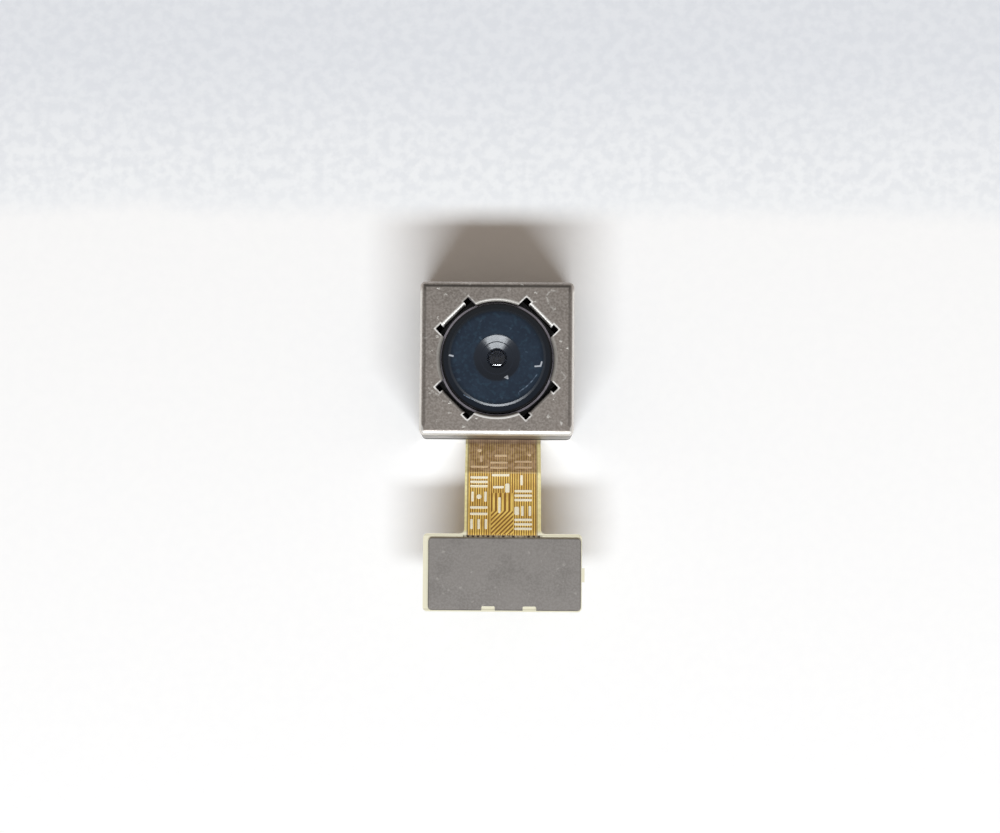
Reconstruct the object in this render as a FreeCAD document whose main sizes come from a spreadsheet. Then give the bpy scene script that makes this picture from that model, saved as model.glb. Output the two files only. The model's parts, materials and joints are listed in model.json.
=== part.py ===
import FreeCAD, Part
import math
import os
import re
import Sketcher

# Autofocus camera module on a short flexible circuit, in millimetres.
# The origin is on the lens axis at the back face of the head. +Z points out of the lens,
# the flexible circuit and its board connector reach towards -Y, and the head rests on its back.

SIZES = {
    # Head outline, from the back plate up to the shield can
    "head_width": 8.5,
    "head_depth": 8.5,
    "head_corner": 0.3,
    "back_plate_thick": 0.2,
    "back_plate_inset": 0.05,
    "holder_height": 0.95,
    "base_flange_height": 0.25,
    "can_height": 3.6,
    # Flexible circuit: a flat head, a steep rise, a crease, a shallow reach and a level board
    "flex_thick": 0.15,
    "neck_width": 4.25,
    "neck_offset": 0.38,
    "neck_root": 0.22,
    "neck_rise_angle": 47,
    "neck_rise_run": 1.82,
    "neck_reach_angle": 22,
    "neck_reach_run": 3.34,
    "neck_bend_radius": 0.3,
    "neck_crease_radius": 0.15,
    "neck_fillet": 0.25,
    "board_width": 8.8,
    "board_depth": 4.31,
    "board_offset": 0.38,
    "board_corner": 0.25,
    "board_tab_width": 0.78,
    "board_tab_reach": 0.15,
    "board_tab_place": 2.26,
    # Steel stiffener on the board, with two notches in its free edge
    "plate_thick": 0.1,
    "plate_offset": 0.5,
    "plate_corner": 0.2,
    "plate_side_gap": 0.175,
    "plate_edge_gap": 0.25,
    "plate_end_gap": 0.07,
    "plate_notch_width": 0.76,
    "plate_notch_depth": 0.23,
    "plate_notch_corner": 0.08,
    "plate_notch_left": -0.9,
    "plate_notch_right": 1.39,
    # Board connector under the board
    "contact_pairs": 15,
    "contact_pitch": 0.4,
    "contact_width": 0.15,
    "contact_thick": 0.08,
    "contact_tail": 0.3,
    "contact_hook": 0.12,
    "contact_slot_clearance": 0.02,
    "housing_end_margin": 0.8,
    "housing_depth": 2.3,
    "housing_height": 0.75,
    "housing_floor": 0.2,
    "housing_side_wall": 0.3,
    "housing_end_wall": 0.35,
    "tongue_depth": 0.7,
    "tongue_end_gap": 0.45,
    "hold_down_width": 1.1,
    "hold_down_thick": 0.1,
    "hold_down_foot": 0.3,
    "hold_down_height": 0.45,
    # Shield can, drawn from one sheet, with a curled lip and four folded legs
    "can_wall": 0.15,
    "can_bend": 0.3,
    "opening_gap": 0.1,
    "lip_bend": 0.2,
    "lip_height": 0.28,
    "leg_distance": 3.34,
    "leg_width": 1.74,
    "leg_drop": 2.0,
    "leg_bend": 0.16,
    "notch_width": 0.4,
    "notch_reach": 3.54,
    "notch_corner": 0.07,
    # Sensor holder and what it covers
    "holder_wall": 0.55,
    "holder_roof": 0.3,
    "filter_width": 5.8,
    "filter_depth": 5.2,
    "filter_thick": 0.21,
    "filter_ledge": 0.35,
    "sensor_width": 5.2,
    "sensor_depth": 4.7,
    "sensor_thick": 0.27,
    "wire_thick": 0.03,
    "wire_loop": 0.18,
    "wire_inset": 0.12,
    "wire_reach": 0.4,
    "wire_pitch": 0.32,
    "wire_pairs": 13,
    "capacitor_length": 0.6,
    "capacitor_width": 0.3,
    "capacitor_pitch": 1.2,
    "capacitor_count": 5,
    "component_gap": 0.12,
    "driver_width": 1.5,
    "driver_depth": 0.7,
    "driver_height": 0.32,
    # Focus motor: base, springs, magnets, coil and lens holder
    "fit_clearance": 0.03,
    "base_plug_height": 0.3,
    "base_post_height": 0.2,
    "base_aperture_gap": 0.2,
    "stop_width": 0.8,
    "spring_thick": 0.04,
    "spring_rail": 0.15,
    "spring_arm": 0.1,
    "spring_arm_start": 1.3,
    "spring_arm_run": 3.9,
    "spring_arm_end": 1.0,
    "spring_ring_gap": 0.05,
    "spring_ring_width": 0.11,
    "spring_split": 0.3,
    "magnet_face": 4.4,
    "magnet_chamfer": 0.25,
    "carrier_height": 2.41,
    "carrier_wall": 0.23,
    "carrier_pad_rise": 0.32,
    "carrier_pad_drop": 0.15,
    "coil_seat_height": 0.2,
    "coil_lip_height": 0.15,
    "coil_lift": 0.51,
    "coil_height": 1.5,
    "coil_thick": 0.3,
    "coil_diagonal": 3.85,
    "coil_corner": 0.6,
    "terminal_spacing": 2.6,
    "terminal_width": 0.6,
    "terminal_thick": 0.1,
    "terminal_foot": 0.25,
    "solder_height": 0.3,
    # Lens barrel
    "barrel_stand": 0.35,
    "barrel_radius": 3.03,
    "barrel_wall": 0.4,
    "barrel_filter_gap": 0.3,
    "barrel_shoulder_gap": 0.1,
    "barrel_chamfer_drop": 0.3,
    "barrel_face_radius": 2.56,
    "barrel_edge_width": 0.12,
    "barrel_edge_drop": 0.042,
    "thread_clearance": 0.02,
    "recess_radius": 1.26,
    "recess_ledge_radius": 0.92,
    "recess_ledge_width": 0.05,
    "recess_ledge_depth": 0.15,
    "recess_depth": 0.29,
    "aperture_radius": 0.56,
    "aperture_back_radius": 0.9,
    "aperture_back_drop": 0.2,
    # Lens stack, from the front
    "lens_seat_depth": 0.7,
    "lens_clearance": 0.01,
    "baffle_thick": 0.03,
    "front_lens_radius": 1.19,
    "front_lens_thick": 0.42,
    "front_lens_opening": 0.8,
    "front_lens_front_rise": 0.4,
    "front_lens_back_rise": 0,
    "second_lens_radius": 1.5,
    "second_lens_thick": 0.42,
    "second_lens_opening": 0.85,
    "second_lens_front_rise": 0,
    "second_lens_back_rise": -0.1,
    "third_lens_radius": 1.9,
    "third_lens_thick": 0.6,
    "third_lens_opening": 1.25,
    "third_lens_front_rise": -0.12,
    "third_lens_back_rise": 0,
    "rear_lens_radius": 2.34,
    "rear_lens_thick": 0.65,
    "rear_lens_opening": 1.75,
    "rear_lens_front_rise": 0,
    "rear_lens_back_rise": -0.15,
    "spacer_ring_thick": 0.3,
    "retainer_thick": 0.3,
    "retainer_opening": 1.85,
}

# Heights above the back face
FLEX_TOP = "(back_plate_thick + flex_thick)"
HOLDER_TOP = f"({FLEX_TOP} + holder_height)"
FLANGE_TOP = f"({HOLDER_TOP} + base_flange_height)"
CAN_TOP = f"({FLANGE_TOP} + can_height)"
CAN_CEILING = f"({CAN_TOP} - can_wall)"
BASE_TOP = f"({FLANGE_TOP} + base_plug_height)"
LOWER_SPRING = f"({BASE_TOP} + base_post_height)"
CARRIER_BOTTOM = f"({LOWER_SPRING} + spring_thick)"
CARRIER_TOP = f"({CARRIER_BOTTOM} + carrier_height)"
SPACER_BOTTOM = f"({CARRIER_TOP} + spring_thick)"
COIL_BOTTOM = f"({CARRIER_BOTTOM} + coil_lift)"
BARREL_TOP = f"({CAN_TOP} + barrel_stand)"
BARREL_BOTTOM = f"({HOLDER_TOP} + barrel_filter_gap)"
BARREL_SHOULDER = f"({CARRIER_BOTTOM} + barrel_shoulder_gap)"

# Front faces of the four lenses, each one seated behind the last
FRONT_LENS = f"({BARREL_TOP} - lens_seat_depth)"
SECOND_LENS = f"({FRONT_LENS} - front_lens_thick - baffle_thick)"
THIRD_LENS = f"({SECOND_LENS} - second_lens_thick - baffle_thick)"
REAR_LENS = f"({THIRD_LENS} - third_lens_thick - spacer_ring_thick)"
RETAINER = f"({REAR_LENS} - rear_lens_thick)"

# Radii, from the rear lens and the barrel outwards
BARREL_SKIRT = "(rear_lens_radius + lens_clearance + barrel_wall)"
BASE_APERTURE = f"({BARREL_SKIRT} + base_aperture_gap)"
OPENING_RADIUS = "(barrel_radius + opening_gap)"
SPRING_RING_INNER = "(barrel_radius + spring_ring_gap)"
SPRING_RING_OUTER = f"({SPRING_RING_INNER} + spring_ring_width)"
CARRIER_BORE = "(barrel_radius + thread_clearance)"
CARRIER_RADIUS = f"({CARRIER_BORE} + carrier_wall)"
CARRIER_PAD = f"({CARRIER_RADIUS} + carrier_pad_rise)"

# Places in plan
CAN_INSIDE_X = "(head_width / 2 - can_wall)"
CAN_INSIDE_Y = "(head_depth / 2 - can_wall)"
TERMINAL_FRONT = f"({CAN_INSIDE_Y} - fit_clearance)"
TERMINAL_BACK = f"({TERMINAL_FRONT} - terminal_thick)"
COIL_OUTER = f"({CARRIER_PAD} + coil_thick)"
COIL_OUTER_DIAGONAL = "(coil_diagonal + coil_thick)"

# The flexible circuit's underside, bend by bend
ROOT_Y = "(-head_depth / 2 - neck_root)"
CREASE_Y = f"({ROOT_Y} - neck_rise_run)"
CREASE_Z = "(back_plate_thick + neck_rise_run * tan(neck_rise_angle))"
BOARD_Y = f"({CREASE_Y} - neck_reach_run)"
BOARD_Z = f"({CREASE_Z} + neck_reach_run * tan(neck_reach_angle))"
BOARD_END = f"({BOARD_Y} - board_depth)"

HALF_WINDOW = "(leg_width / 2 + notch_width)"
PLATE_WIDTH = "(board_width - 2 * plate_side_gap)"
PLATE_DEPTH = "(board_depth - plate_edge_gap - plate_end_gap)"
HOUSING_WIDTH = "((contact_pairs - 1) * contact_pitch + 2 * housing_end_margin)"

os.makedirs("parts", exist_ok=True)
doc = FreeCAD.newDocument("CameraModule")
sheet = doc.addObject("Spreadsheet::Sheet", "Sizes")
for row, (alias, size) in enumerate(SIZES.items(), start=1):
    sheet.set(f"A{row}", alias.replace("_", " "))
    sheet.set(f"B{row}", str(size))
    sheet.setAlias(f"B{row}", alias)
doc.recompute()

# How close two places count as one, and the least volume that a cut has to take
NEAR = 1e-4
LEAST_CUT = 1e-8
PARTS = []


def linked(formula):
    """The formula with every size written as its cell of the sheet."""
    return re.sub(r"[a-z_]+", lambda word: f"Sizes.{word[0]}" if word[0] in SIZES else word[0], formula)


def value(formula):
    """What the formula comes to now."""
    return float(sheet.evalExpression(linked(formula)))


def new_body(label):
    """An empty body that will be written under this label."""
    body = doc.addObject("PartDesign::Body", label)
    body.Label = label
    PARTS.append(body)
    return body


def new_sketch(body, plane="XY_Plane", lift="0", turn=0):
    """A sketch on one of the body's own planes, moved along the plane's normal and turned about Z."""
    sketch = body.newObject("Sketcher::SketchObject", f"{body.Name}_sketch")
    support = next(item for item in body.Origin.OriginFeatures if item.Role == plane)
    sketch.AttachmentSupport = [(support, "")]
    sketch.MapMode = "FlatFace"
    if turn:
        sketch.AttachmentOffset = FreeCAD.Placement(
            FreeCAD.Vector(), FreeCAD.Rotation(FreeCAD.Vector(0, 0, 1), turn)
        )
    sketch.setExpression(".AttachmentOffset.Base.z", linked(lift))
    return sketch


def place_point(sketch, item, end, x, y):
    """Ties one point of the sketch to the origin by two linked distances."""
    for direction, formula in (("DistanceX", x), ("DistanceY", y)):
        number = sketch.addConstraint(
            Sketcher.Constraint(direction, -1, 1, item, end, value(formula))
        )
        sketch.setExpression(f"Constraints[{number}]", linked(formula))


def draw_polygon(sketch, corners):
    """A closed outline of straight lines through corners, each a pair of formulas."""
    first = sketch.GeometryCount
    points = [FreeCAD.Vector(value(x), value(y), 0) for x, y in corners]
    for start, end in zip(points, points[1:] + points[:1]):
        sketch.addGeometry(Part.LineSegment(start, end), False)
    for index, (x, y) in enumerate(corners):
        following = first + (index + 1) % len(corners)
        sketch.addConstraint(Sketcher.Constraint("Coincident", first + index, 2, following, 1))
        place_point(sketch, first + index, 1, x, y)


def draw_rectangle(sketch, width, depth, x="0", y="0"):
    """A rectangle of this size about the point x, y."""
    left, right = f"({x} - {width} / 2)", f"({x} + {width} / 2)"
    low, high = f"({y} - {depth} / 2)", f"({y} + {depth} / 2)"
    draw_polygon(sketch, [(left, low), (right, low), (right, high), (left, high)])


def draw_circle(sketch, radius):
    """A circle about the sketch's origin."""
    centre = FreeCAD.Vector()
    item = sketch.addGeometry(
        Part.Circle(centre, FreeCAD.Vector(0, 0, 1), value(radius)), False
    )
    sketch.addConstraint(Sketcher.Constraint("Coincident", item, 3, -1, 1))
    number = sketch.addConstraint(Sketcher.Constraint("Radius", item, value(radius)))
    sketch.setExpression(f"Constraints[{number}]", linked(radius))


def draw_octagon(sketch, side, diagonal):
    """An octagon whose flats lie at side along X and Y, and at diagonal between them."""
    reach = f"({diagonal} * sqrt(2) - {side})"
    draw_polygon(
        sketch,
        [
            (f"{side}", f"-{reach}"),
            (f"{side}", f"{reach}"),
            (f"{reach}", f"{side}"),
            (f"-{reach}", f"{side}"),
            (f"-{side}", f"{reach}"),
            (f"-{side}", f"-{reach}"),
            (f"-{reach}", f"-{side}"),
            (f"{reach}", f"-{side}"),
        ],
    )


def add_pad(sketch, length, symmetric=False, downward=False):
    """Pads the sketch along its normal."""
    body = sketch.getParentGeoFeatureGroup()
    pad = body.newObject("PartDesign::Pad", f"{body.Name}_pad")
    pad.Profile = sketch
    pad.setExpression("Length", linked(length))
    pad.SideType = "Symmetric" if symmetric else "One side"
    pad.Reversed = downward
    doc.recompute()
    return pad


def add_pocket(sketch, depth="", upward=False):
    """Cuts the sketch into its body to this depth, or right through, and sees that it cut."""
    body = sketch.getParentGeoFeatureGroup()
    before = body.Shape.Volume
    pocket = body.newObject("PartDesign::Pocket", f"{body.Name}_pocket")
    pocket.Profile = sketch
    pocket.Reversed = upward
    if depth:
        pocket.setExpression("Length", linked(depth))
    else:
        pocket.Type = "ThroughAll"
        pocket.SideType = "Symmetric"
    doc.recompute()
    if body.Shape.Volume > before - LEAST_CUT:
        raise RuntimeError(f"{pocket.Name} cuts nothing")
    return pocket


def add_revolution(sketch):
    """Turns the sketch once round the Z axis."""
    body = sketch.getParentGeoFeatureGroup()
    turned = body.newObject("PartDesign::Revolution", f"{body.Name}_turned")
    turned.Profile = sketch
    turned.ReferenceAxis = (sketch, ["V_Axis"])
    turned.Angle = 360
    doc.recompute()
    return turned


def add_fillet(body, radius, chosen):
    """Rounds the edges of the body's present shape for which chosen(edge) is true."""
    base = body.Tip
    names = [
        f"Edge{number}"
        for number, edge in enumerate(base.Shape.Edges, start=1)
        if not edge.Degenerated and chosen(edge)
    ]
    if not names:
        raise RuntimeError(f"{body.Name} has no edge to round")
    fillet = body.newObject("PartDesign::Fillet", f"{body.Name}_fillet")
    fillet.Base = (base, names)
    fillet.setExpression("Radius", linked(radius))
    doc.recompute()
    return fillet


def add_turns(features, count=4):
    """Repeats features round the Z axis."""
    body = features[0].getParentGeoFeatureGroup()
    pattern = body.newObject("PartDesign::PolarPattern", f"{body.Name}_turns")
    pattern.Originals = features
    pattern.Axis = (features[0].Profile[0], ["N_Axis"])
    pattern.Angle = 360
    pattern.Occurrences = count
    body.Tip = pattern
    doc.recompute()
    return pattern


def add_row(features, axis, count, pitch):
    """Repeats features in a row along one of the body's axes."""
    body = features[0].getParentGeoFeatureGroup()
    pattern = body.newObject("PartDesign::LinearPattern", f"{body.Name}_row")
    pattern.Originals = features
    line = next(item for item in body.Origin.OriginFeatures if item.Role == axis)
    pattern.Direction = (line, [""])
    pattern.setExpression("Length", linked(f"({count} - 1) * {pitch}"))
    pattern.setExpression("Occurrences", linked(count))
    body.Tip = pattern
    doc.recompute()
    return pattern


def is_upright(edge):
    """True for a straight edge along Z."""
    return edge.Curve.TypeId == "Part::GeomLine" and abs(edge.tangentAt(edge.FirstParameter).z) > 1 - NEAR


def is_outer_corner(edge, width, depth):
    """True for an upright edge at a corner of a centred rectangle."""
    middle = edge.CenterOfMass
    at_side = abs(abs(middle.x) - value(width) / 2) < NEAR
    at_end = abs(abs(middle.y) - value(depth) / 2) < NEAR
    return is_upright(edge) and at_side and at_end


def is_upright_at(edge, centres, width, ends):
    """True for an upright edge half a width beside one of the centres, at one of the ends."""
    middle = edge.CenterOfMass
    beside = any(abs(abs(middle.x - value(x)) - value(width) / 2) < NEAR for x in centres)
    at_end = any(abs(middle.y - value(y)) < NEAR for y in ends)
    return is_upright(edge) and beside and at_end


def is_across_at(edge, y, z):
    """True for an edge along X through the point y, z."""
    middle = edge.CenterOfMass
    across = abs(edge.tangentAt(edge.FirstParameter).x) > 1 - NEAR
    return across and abs(middle.y - value(y)) < NEAR and abs(middle.z - value(z)) < NEAR


def move_body(body, x, y, z):
    """Moves a body that is drawn about its own origin."""
    for name, formula in (("x", x), ("y", y), ("z", z)):
        body.setExpression(f".Placement.Base.{name}", linked(formula))


def corner_plate(inside_x, inside_y):
    """The outline of a plate that fills a corner of the can, as far as the magnet's face."""
    across = f"(magnet_face * sqrt(2) - {inside_y})"
    along = f"(magnet_face * sqrt(2) - {inside_x})"
    return [
        (inside_x, along),
        (inside_x, f"({inside_y} - magnet_chamfer)"),
        (f"({inside_x} - magnet_chamfer)", inside_y),
        (across, inside_y),
    ]


def mirrored_outline(corners, x_sign, y_sign):
    """An outline moved to another quarter of the head."""
    return [(f"{x_sign} * {x}", f"{y_sign} * {y}") for x, y in corners]


QUARTERS = {
    "front_left": (-1, -1),
    "front_right": (1, -1),
    "back_left": (-1, 1),
    "back_right": (1, 1),
}


def add_frame(body, inside_x, inside_y, lift, height):
    """A frame just inside the can: a rail along each wall and a plate in each corner."""
    frame = new_sketch(body, lift=lift)
    short_x, short_y = f"({inside_x} - magnet_chamfer)", f"({inside_y} - magnet_chamfer)"
    draw_polygon(
        frame,
        [
            (f"(-{short_x})", f"(-{inside_y})"),
            (short_x, f"(-{inside_y})"),
            (inside_x, f"(-{short_y})"),
            (inside_x, short_y),
            (short_x, inside_y),
            (f"(-{short_x})", inside_y),
            (f"(-{inside_x})", short_y),
            (f"(-{inside_x})", f"(-{short_y})"),
        ],
    )
    draw_rectangle(frame, f"(2 * ({inside_x} - spring_rail))", f"(2 * ({inside_y} - spring_rail))")
    add_pad(frame, height)
    add_corner_plates(body, inside_x, inside_y, lift, height)


def add_corner_plates(body, inside_x, inside_y, lift, height):
    """Four plates in the corners of the head."""
    sketch = new_sketch(body, lift=lift)
    for x_sign, y_sign in QUARTERS.values():
        draw_polygon(sketch, mirrored_outline(corner_plate(inside_x, inside_y), x_sign, y_sign))
    return add_pad(sketch, height)


def make_block(label, width, depth, corner, lift, height):
    """A plate with rounded corners, centred on the lens axis."""
    body = new_body(label)
    sketch = new_sketch(body, lift=lift)
    draw_rectangle(sketch, width, depth)
    add_pad(sketch, height)
    if corner:
        add_fillet(body, corner, lambda edge: is_outer_corner(edge, width, depth))
    return body


def make_ring(label, outer, inner, lift, height):
    """A flat ring round the lens axis."""
    body = new_body(label)
    sketch = new_sketch(body, lift=lift)
    draw_circle(sketch, outer)
    draw_circle(sketch, inner)
    add_pad(sketch, height)
    return body


# Flexible circuit and back plate


def make_flexible_circuit():
    """One bent sheet, cut to the plan of the head, the neck and the board."""
    side = doc.addObject("PartDesign::Body", "flex_side")
    sketch = new_sketch(side, "YZ_Plane")
    mean = "((neck_rise_angle + neck_reach_angle) / 2)"
    spread = "((neck_rise_angle - neck_reach_angle) / 2)"
    crease_top = (
        f"({CREASE_Y} + flex_thick * sin({mean}) / cos({spread}))",
        f"({CREASE_Z} + flex_thick * cos({mean}) / cos({spread}))",
    )
    root_top = (f"({ROOT_Y} + flex_thick * tan(neck_rise_angle / 2))", FLEX_TOP)
    board_top = (
        f"({BOARD_Y} + flex_thick * tan(neck_reach_angle / 2))",
        f"({BOARD_Z} + flex_thick)",
    )
    draw_polygon(
        sketch,
        [
            ("(head_depth / 2)", "back_plate_thick"),
            (ROOT_Y, "back_plate_thick"),
            (CREASE_Y, CREASE_Z),
            (BOARD_Y, BOARD_Z),
            (BOARD_END, BOARD_Z),
            (BOARD_END, f"({BOARD_Z} + flex_thick)"),
            board_top,
            crease_top,
            root_top,
            ("(head_depth / 2)", FLEX_TOP),
        ],
    )
    add_pad(sketch, "(2 * board_width)", symmetric=True)
    bends = [
        ("neck_bend_radius", [root_top, (BOARD_Y, BOARD_Z)]),
        ("(neck_bend_radius + flex_thick)", [(ROOT_Y, "back_plate_thick"), board_top]),
        ("neck_crease_radius", [(CREASE_Y, CREASE_Z)]),
        ("(neck_crease_radius + flex_thick)", [crease_top]),
    ]
    for radius, places in bends:
        add_fillet(side, radius, lambda edge: any(is_across_at(edge, *place) for place in places))

    plan = doc.addObject("PartDesign::Body", "flex_plan")
    sketch = new_sketch(plan)
    neck_left, neck_right = "(neck_offset - neck_width / 2)", "(neck_offset + neck_width / 2)"
    board_left, board_right = "(board_offset - board_width / 2)", "(board_offset + board_width / 2)"
    tab_right = f"({board_right} + board_tab_reach)"
    tab_low = f"({BOARD_Y} - board_tab_place - board_tab_width / 2)"
    tab_high = f"({BOARD_Y} - board_tab_place + board_tab_width / 2)"
    head_left, head_right = "(-head_width / 2)", "(head_width / 2)"
    head_front, head_back = "(-head_depth / 2)", "(head_depth / 2)"
    draw_polygon(
        sketch,
        [
            (head_left, head_back),
            (head_left, head_front),
            (neck_left, head_front),
            (neck_left, BOARD_Y),
            (board_left, BOARD_Y),
            (board_left, BOARD_END),
            (board_right, BOARD_END),
            (board_right, tab_low),
            (tab_right, tab_low),
            (tab_right, tab_high),
            (board_right, tab_high),
            (board_right, BOARD_Y),
            (neck_right, BOARD_Y),
            (neck_right, head_front),
            (head_right, head_front),
            (head_right, head_back),
        ],
    )
    add_pad(sketch, BARREL_TOP)
    add_fillet(plan, "head_corner", lambda edge: is_outer_corner(edge, "head_width", "head_depth"))
    add_fillet(
        plan,
        "neck_fillet",
        lambda edge: is_upright_at(edge, ["neck_offset"], "neck_width", [BOARD_Y]),
    )
    add_fillet(
        plan,
        "board_corner",
        lambda edge: is_upright_at(edge, ["board_offset"], "board_width", [BOARD_Y, BOARD_END]),
    )

    circuit = doc.addObject("Part::Common", "flex_circuit")
    circuit.Label = "flex_circuit"
    circuit.Base = side
    circuit.Tool = plan
    PARTS.append(circuit)
    doc.recompute()


def make_board_stiffener():
    """Steel plate on the board, with two notches in its free edge."""
    body = new_body("connector_stiffener")
    sketch = new_sketch(body)
    draw_rectangle(sketch, PLATE_WIDTH, PLATE_DEPTH)
    add_pad(sketch, "plate_thick")
    add_fillet(body, "plate_corner", lambda edge: is_outer_corner(edge, PLATE_WIDTH, PLATE_DEPTH))
    notches = new_sketch(body)
    centres = ["plate_notch_left", "plate_notch_right"]
    for centre in centres:
        draw_rectangle(
            notches, "plate_notch_width", "(2 * plate_notch_depth)", centre, f"(-{PLATE_DEPTH} / 2)"
        )
    add_pocket(notches)
    notch_floor = f"(plate_notch_depth - {PLATE_DEPTH} / 2)"
    add_fillet(
        body,
        "plate_notch_corner",
        lambda edge: is_upright_at(edge, centres, "plate_notch_width", [notch_floor]),
    )
    move_body(
        body,
        "plate_offset",
        f"({BOARD_Y} - plate_edge_gap - {PLATE_DEPTH} / 2)",
        f"({BOARD_Z} + flex_thick)",
    )


# Board connector, drawn about the middle of its top face and hung under the board


def seat_connector(body):
    """Puts a connector piece under the middle of the board."""
    move_body(body, "board_offset", f"({BOARD_Y} - board_depth / 2)", BOARD_Z)


def make_connector_housing():
    """Moulded housing with a trough round a tongue, and a groove for every contact."""
    body = new_body("connector_housing")
    sketch = new_sketch(body)
    draw_rectangle(sketch, HOUSING_WIDTH, "housing_depth")
    add_pad(sketch, "housing_height", downward=True)
    add_fillet(
        body,
        "(housing_side_wall / 2)",
        lambda edge: is_outer_corner(edge, HOUSING_WIDTH, "housing_depth"),
    )
    trough = new_sketch(body, lift="(-housing_height)")
    trough_width = f"({HOUSING_WIDTH} - 2 * housing_end_wall)"
    draw_rectangle(trough, trough_width, "(housing_depth - 2 * housing_side_wall)")
    draw_rectangle(trough, f"({trough_width} - 2 * tongue_end_gap)", "tongue_depth")
    add_pocket(trough, "(housing_height - housing_floor)", upward=True)

    first_contact = "(-(contact_pairs - 1) / 2 * contact_pitch)"
    slot_width = "(contact_width + 2 * contact_slot_clearance)"
    grooves = new_sketch(body)
    blade = contact_blade()
    for sign in ("-", ""):
        middle = f"({blade} + housing_depth / 2) / 2"
        draw_rectangle(
            grooves, slot_width, f"(housing_depth / 2 - {blade} + contact_thick)",
            first_contact, f"({sign}({middle}))",
        )
    groove = add_pocket(grooves, "(contact_thick + contact_slot_clearance)")
    slots = new_sketch(body)
    for sign in ("-", ""):
        draw_rectangle(
            slots, slot_width, "(contact_thick + 2 * contact_slot_clearance)",
            first_contact, f"({sign}{blade})",
        )
    slot = add_pocket(slots, "housing_floor")
    add_row([groove, slot], "X_Axis", "contact_pairs", "contact_pitch")
    seat_connector(body)


def contact_blade():
    """The distance of a contact's upright blade from the connector's middle."""
    return "((tongue_depth / 2 + housing_depth / 2 - housing_side_wall) / 2)"


def make_connector_contacts():
    """Bent contacts: a tail on the board, an upright blade and a hooked tip."""
    body = new_body("connector_contacts")
    blade = contact_blade()
    sketch = new_sketch(body, "YZ_Plane", lift="(-(contact_pairs - 1) / 2 * contact_pitch)")
    tail_end = "(housing_depth / 2 + contact_tail)"
    inner = f"({blade} - contact_thick / 2)"
    outer = f"({blade} + contact_thick / 2)"
    tip = "(-housing_height + contact_thick)"
    profile = [
        (inner, "0"),
        (tail_end, "0"),
        (tail_end, "(-contact_thick)"),
        (outer, "(-contact_thick)"),
        (outer, f"({tip} + contact_hook)"),
        (f"({outer} - contact_thick / 2)", tip),
        (f"({inner} - contact_thick)", f"({tip} + contact_thick)"),
        (inner, f"({tip} + 2 * contact_hook)"),
    ]
    draw_polygon(sketch, profile)
    draw_polygon(sketch, [(f"(-{y})", z) for y, z in profile])
    contact = add_pad(sketch, "contact_width", symmetric=True)
    add_row([contact], "X_Axis", "contact_pairs", "contact_pitch")
    seat_connector(body)


def make_hold_downs():
    """Two metal clips at the housing's ends, each with a foot on the board."""
    body = new_body("connector_hold_downs")
    sketch = new_sketch(body, "XZ_Plane")
    wall = f"({HOUSING_WIDTH} / 2)"
    face = f"({wall} + hold_down_thick)"
    foot = f"({wall} + hold_down_foot)"
    profile = [
        (wall, "0"),
        (foot, "0"),
        (foot, "(-hold_down_thick)"),
        (face, "(-hold_down_thick)"),
        (face, "(-hold_down_height)"),
        (wall, "(-hold_down_height)"),
    ]
    draw_polygon(sketch, profile)
    draw_polygon(sketch, [(f"(-{x})", z) for x, z in profile])
    add_pad(sketch, "hold_down_width", symmetric=True)
    seat_connector(body)


# Image sensor, its holder and the small components beside it


def make_bond_wires():
    """Gold wires in two rows, from the sensor's edges down to the circuit."""
    body = new_body("bond_wires")
    sketch = new_sketch(body, "XZ_Plane", lift="((wire_pairs - 1) / 2 * wire_pitch)")
    top = f"({FLEX_TOP} + sensor_thick)"
    start = "(sensor_width / 2 - wire_inset)"
    crest = f"({top} + wire_loop)"
    landing = "(sensor_width / 2 + wire_reach)"
    profile = [
        (start, top),
        (start, crest),
        (landing, FLEX_TOP),
        (f"({landing} - 2 * wire_thick)", FLEX_TOP),
        (f"({start} + wire_thick)", f"({crest} - 2 * wire_thick)"),
        (f"({start} + wire_thick)", top),
    ]
    draw_polygon(sketch, profile)
    draw_polygon(sketch, [(f"(-{x})", z) for x, z in profile])
    wire = add_pad(sketch, "wire_thick", symmetric=True)
    add_row([wire], "Y_Axis", "wire_pairs", "wire_pitch")


def make_capacitors():
    """A row of small ceramic capacitors beside the sensor."""
    body = new_body("chip_capacitors")
    sketch = new_sketch(body, lift=FLEX_TOP)
    first = "(-(capacitor_count - 1) / 2 * capacitor_pitch)"
    row = "(-sensor_depth / 2 - component_gap - capacitor_width / 2)"
    draw_rectangle(sketch, "capacitor_length", "capacitor_width", first, row)
    block = add_pad(sketch, "capacitor_width")
    add_row([block], "X_Axis", "capacitor_count", "capacitor_pitch")


def make_focus_driver():
    """The focus motor's driver chip, on the other side of the sensor."""
    body = new_body("focus_driver_chip")
    sketch = new_sketch(body, lift=FLEX_TOP)
    middle = "(sensor_depth / 2 + component_gap + driver_depth / 2)"
    draw_rectangle(sketch, "driver_width", "driver_depth", "0", middle)
    add_pad(sketch, "driver_height")


def cut_terminal_slots(body, lift):
    """Opens the body's far wall for the two focus terminals, right through."""
    sketch = new_sketch(body, lift=lift)
    back = f"({TERMINAL_BACK} - fit_clearance)"
    depth = f"(head_depth / 2 + fit_clearance - {back})"
    for sign in ("-", ""):
        draw_rectangle(
            sketch, "(terminal_width + 2 * fit_clearance)", depth,
            f"({sign}terminal_spacing / 2)", f"({back} + {depth} / 2)",
        )
    add_pocket(sketch)


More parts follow.
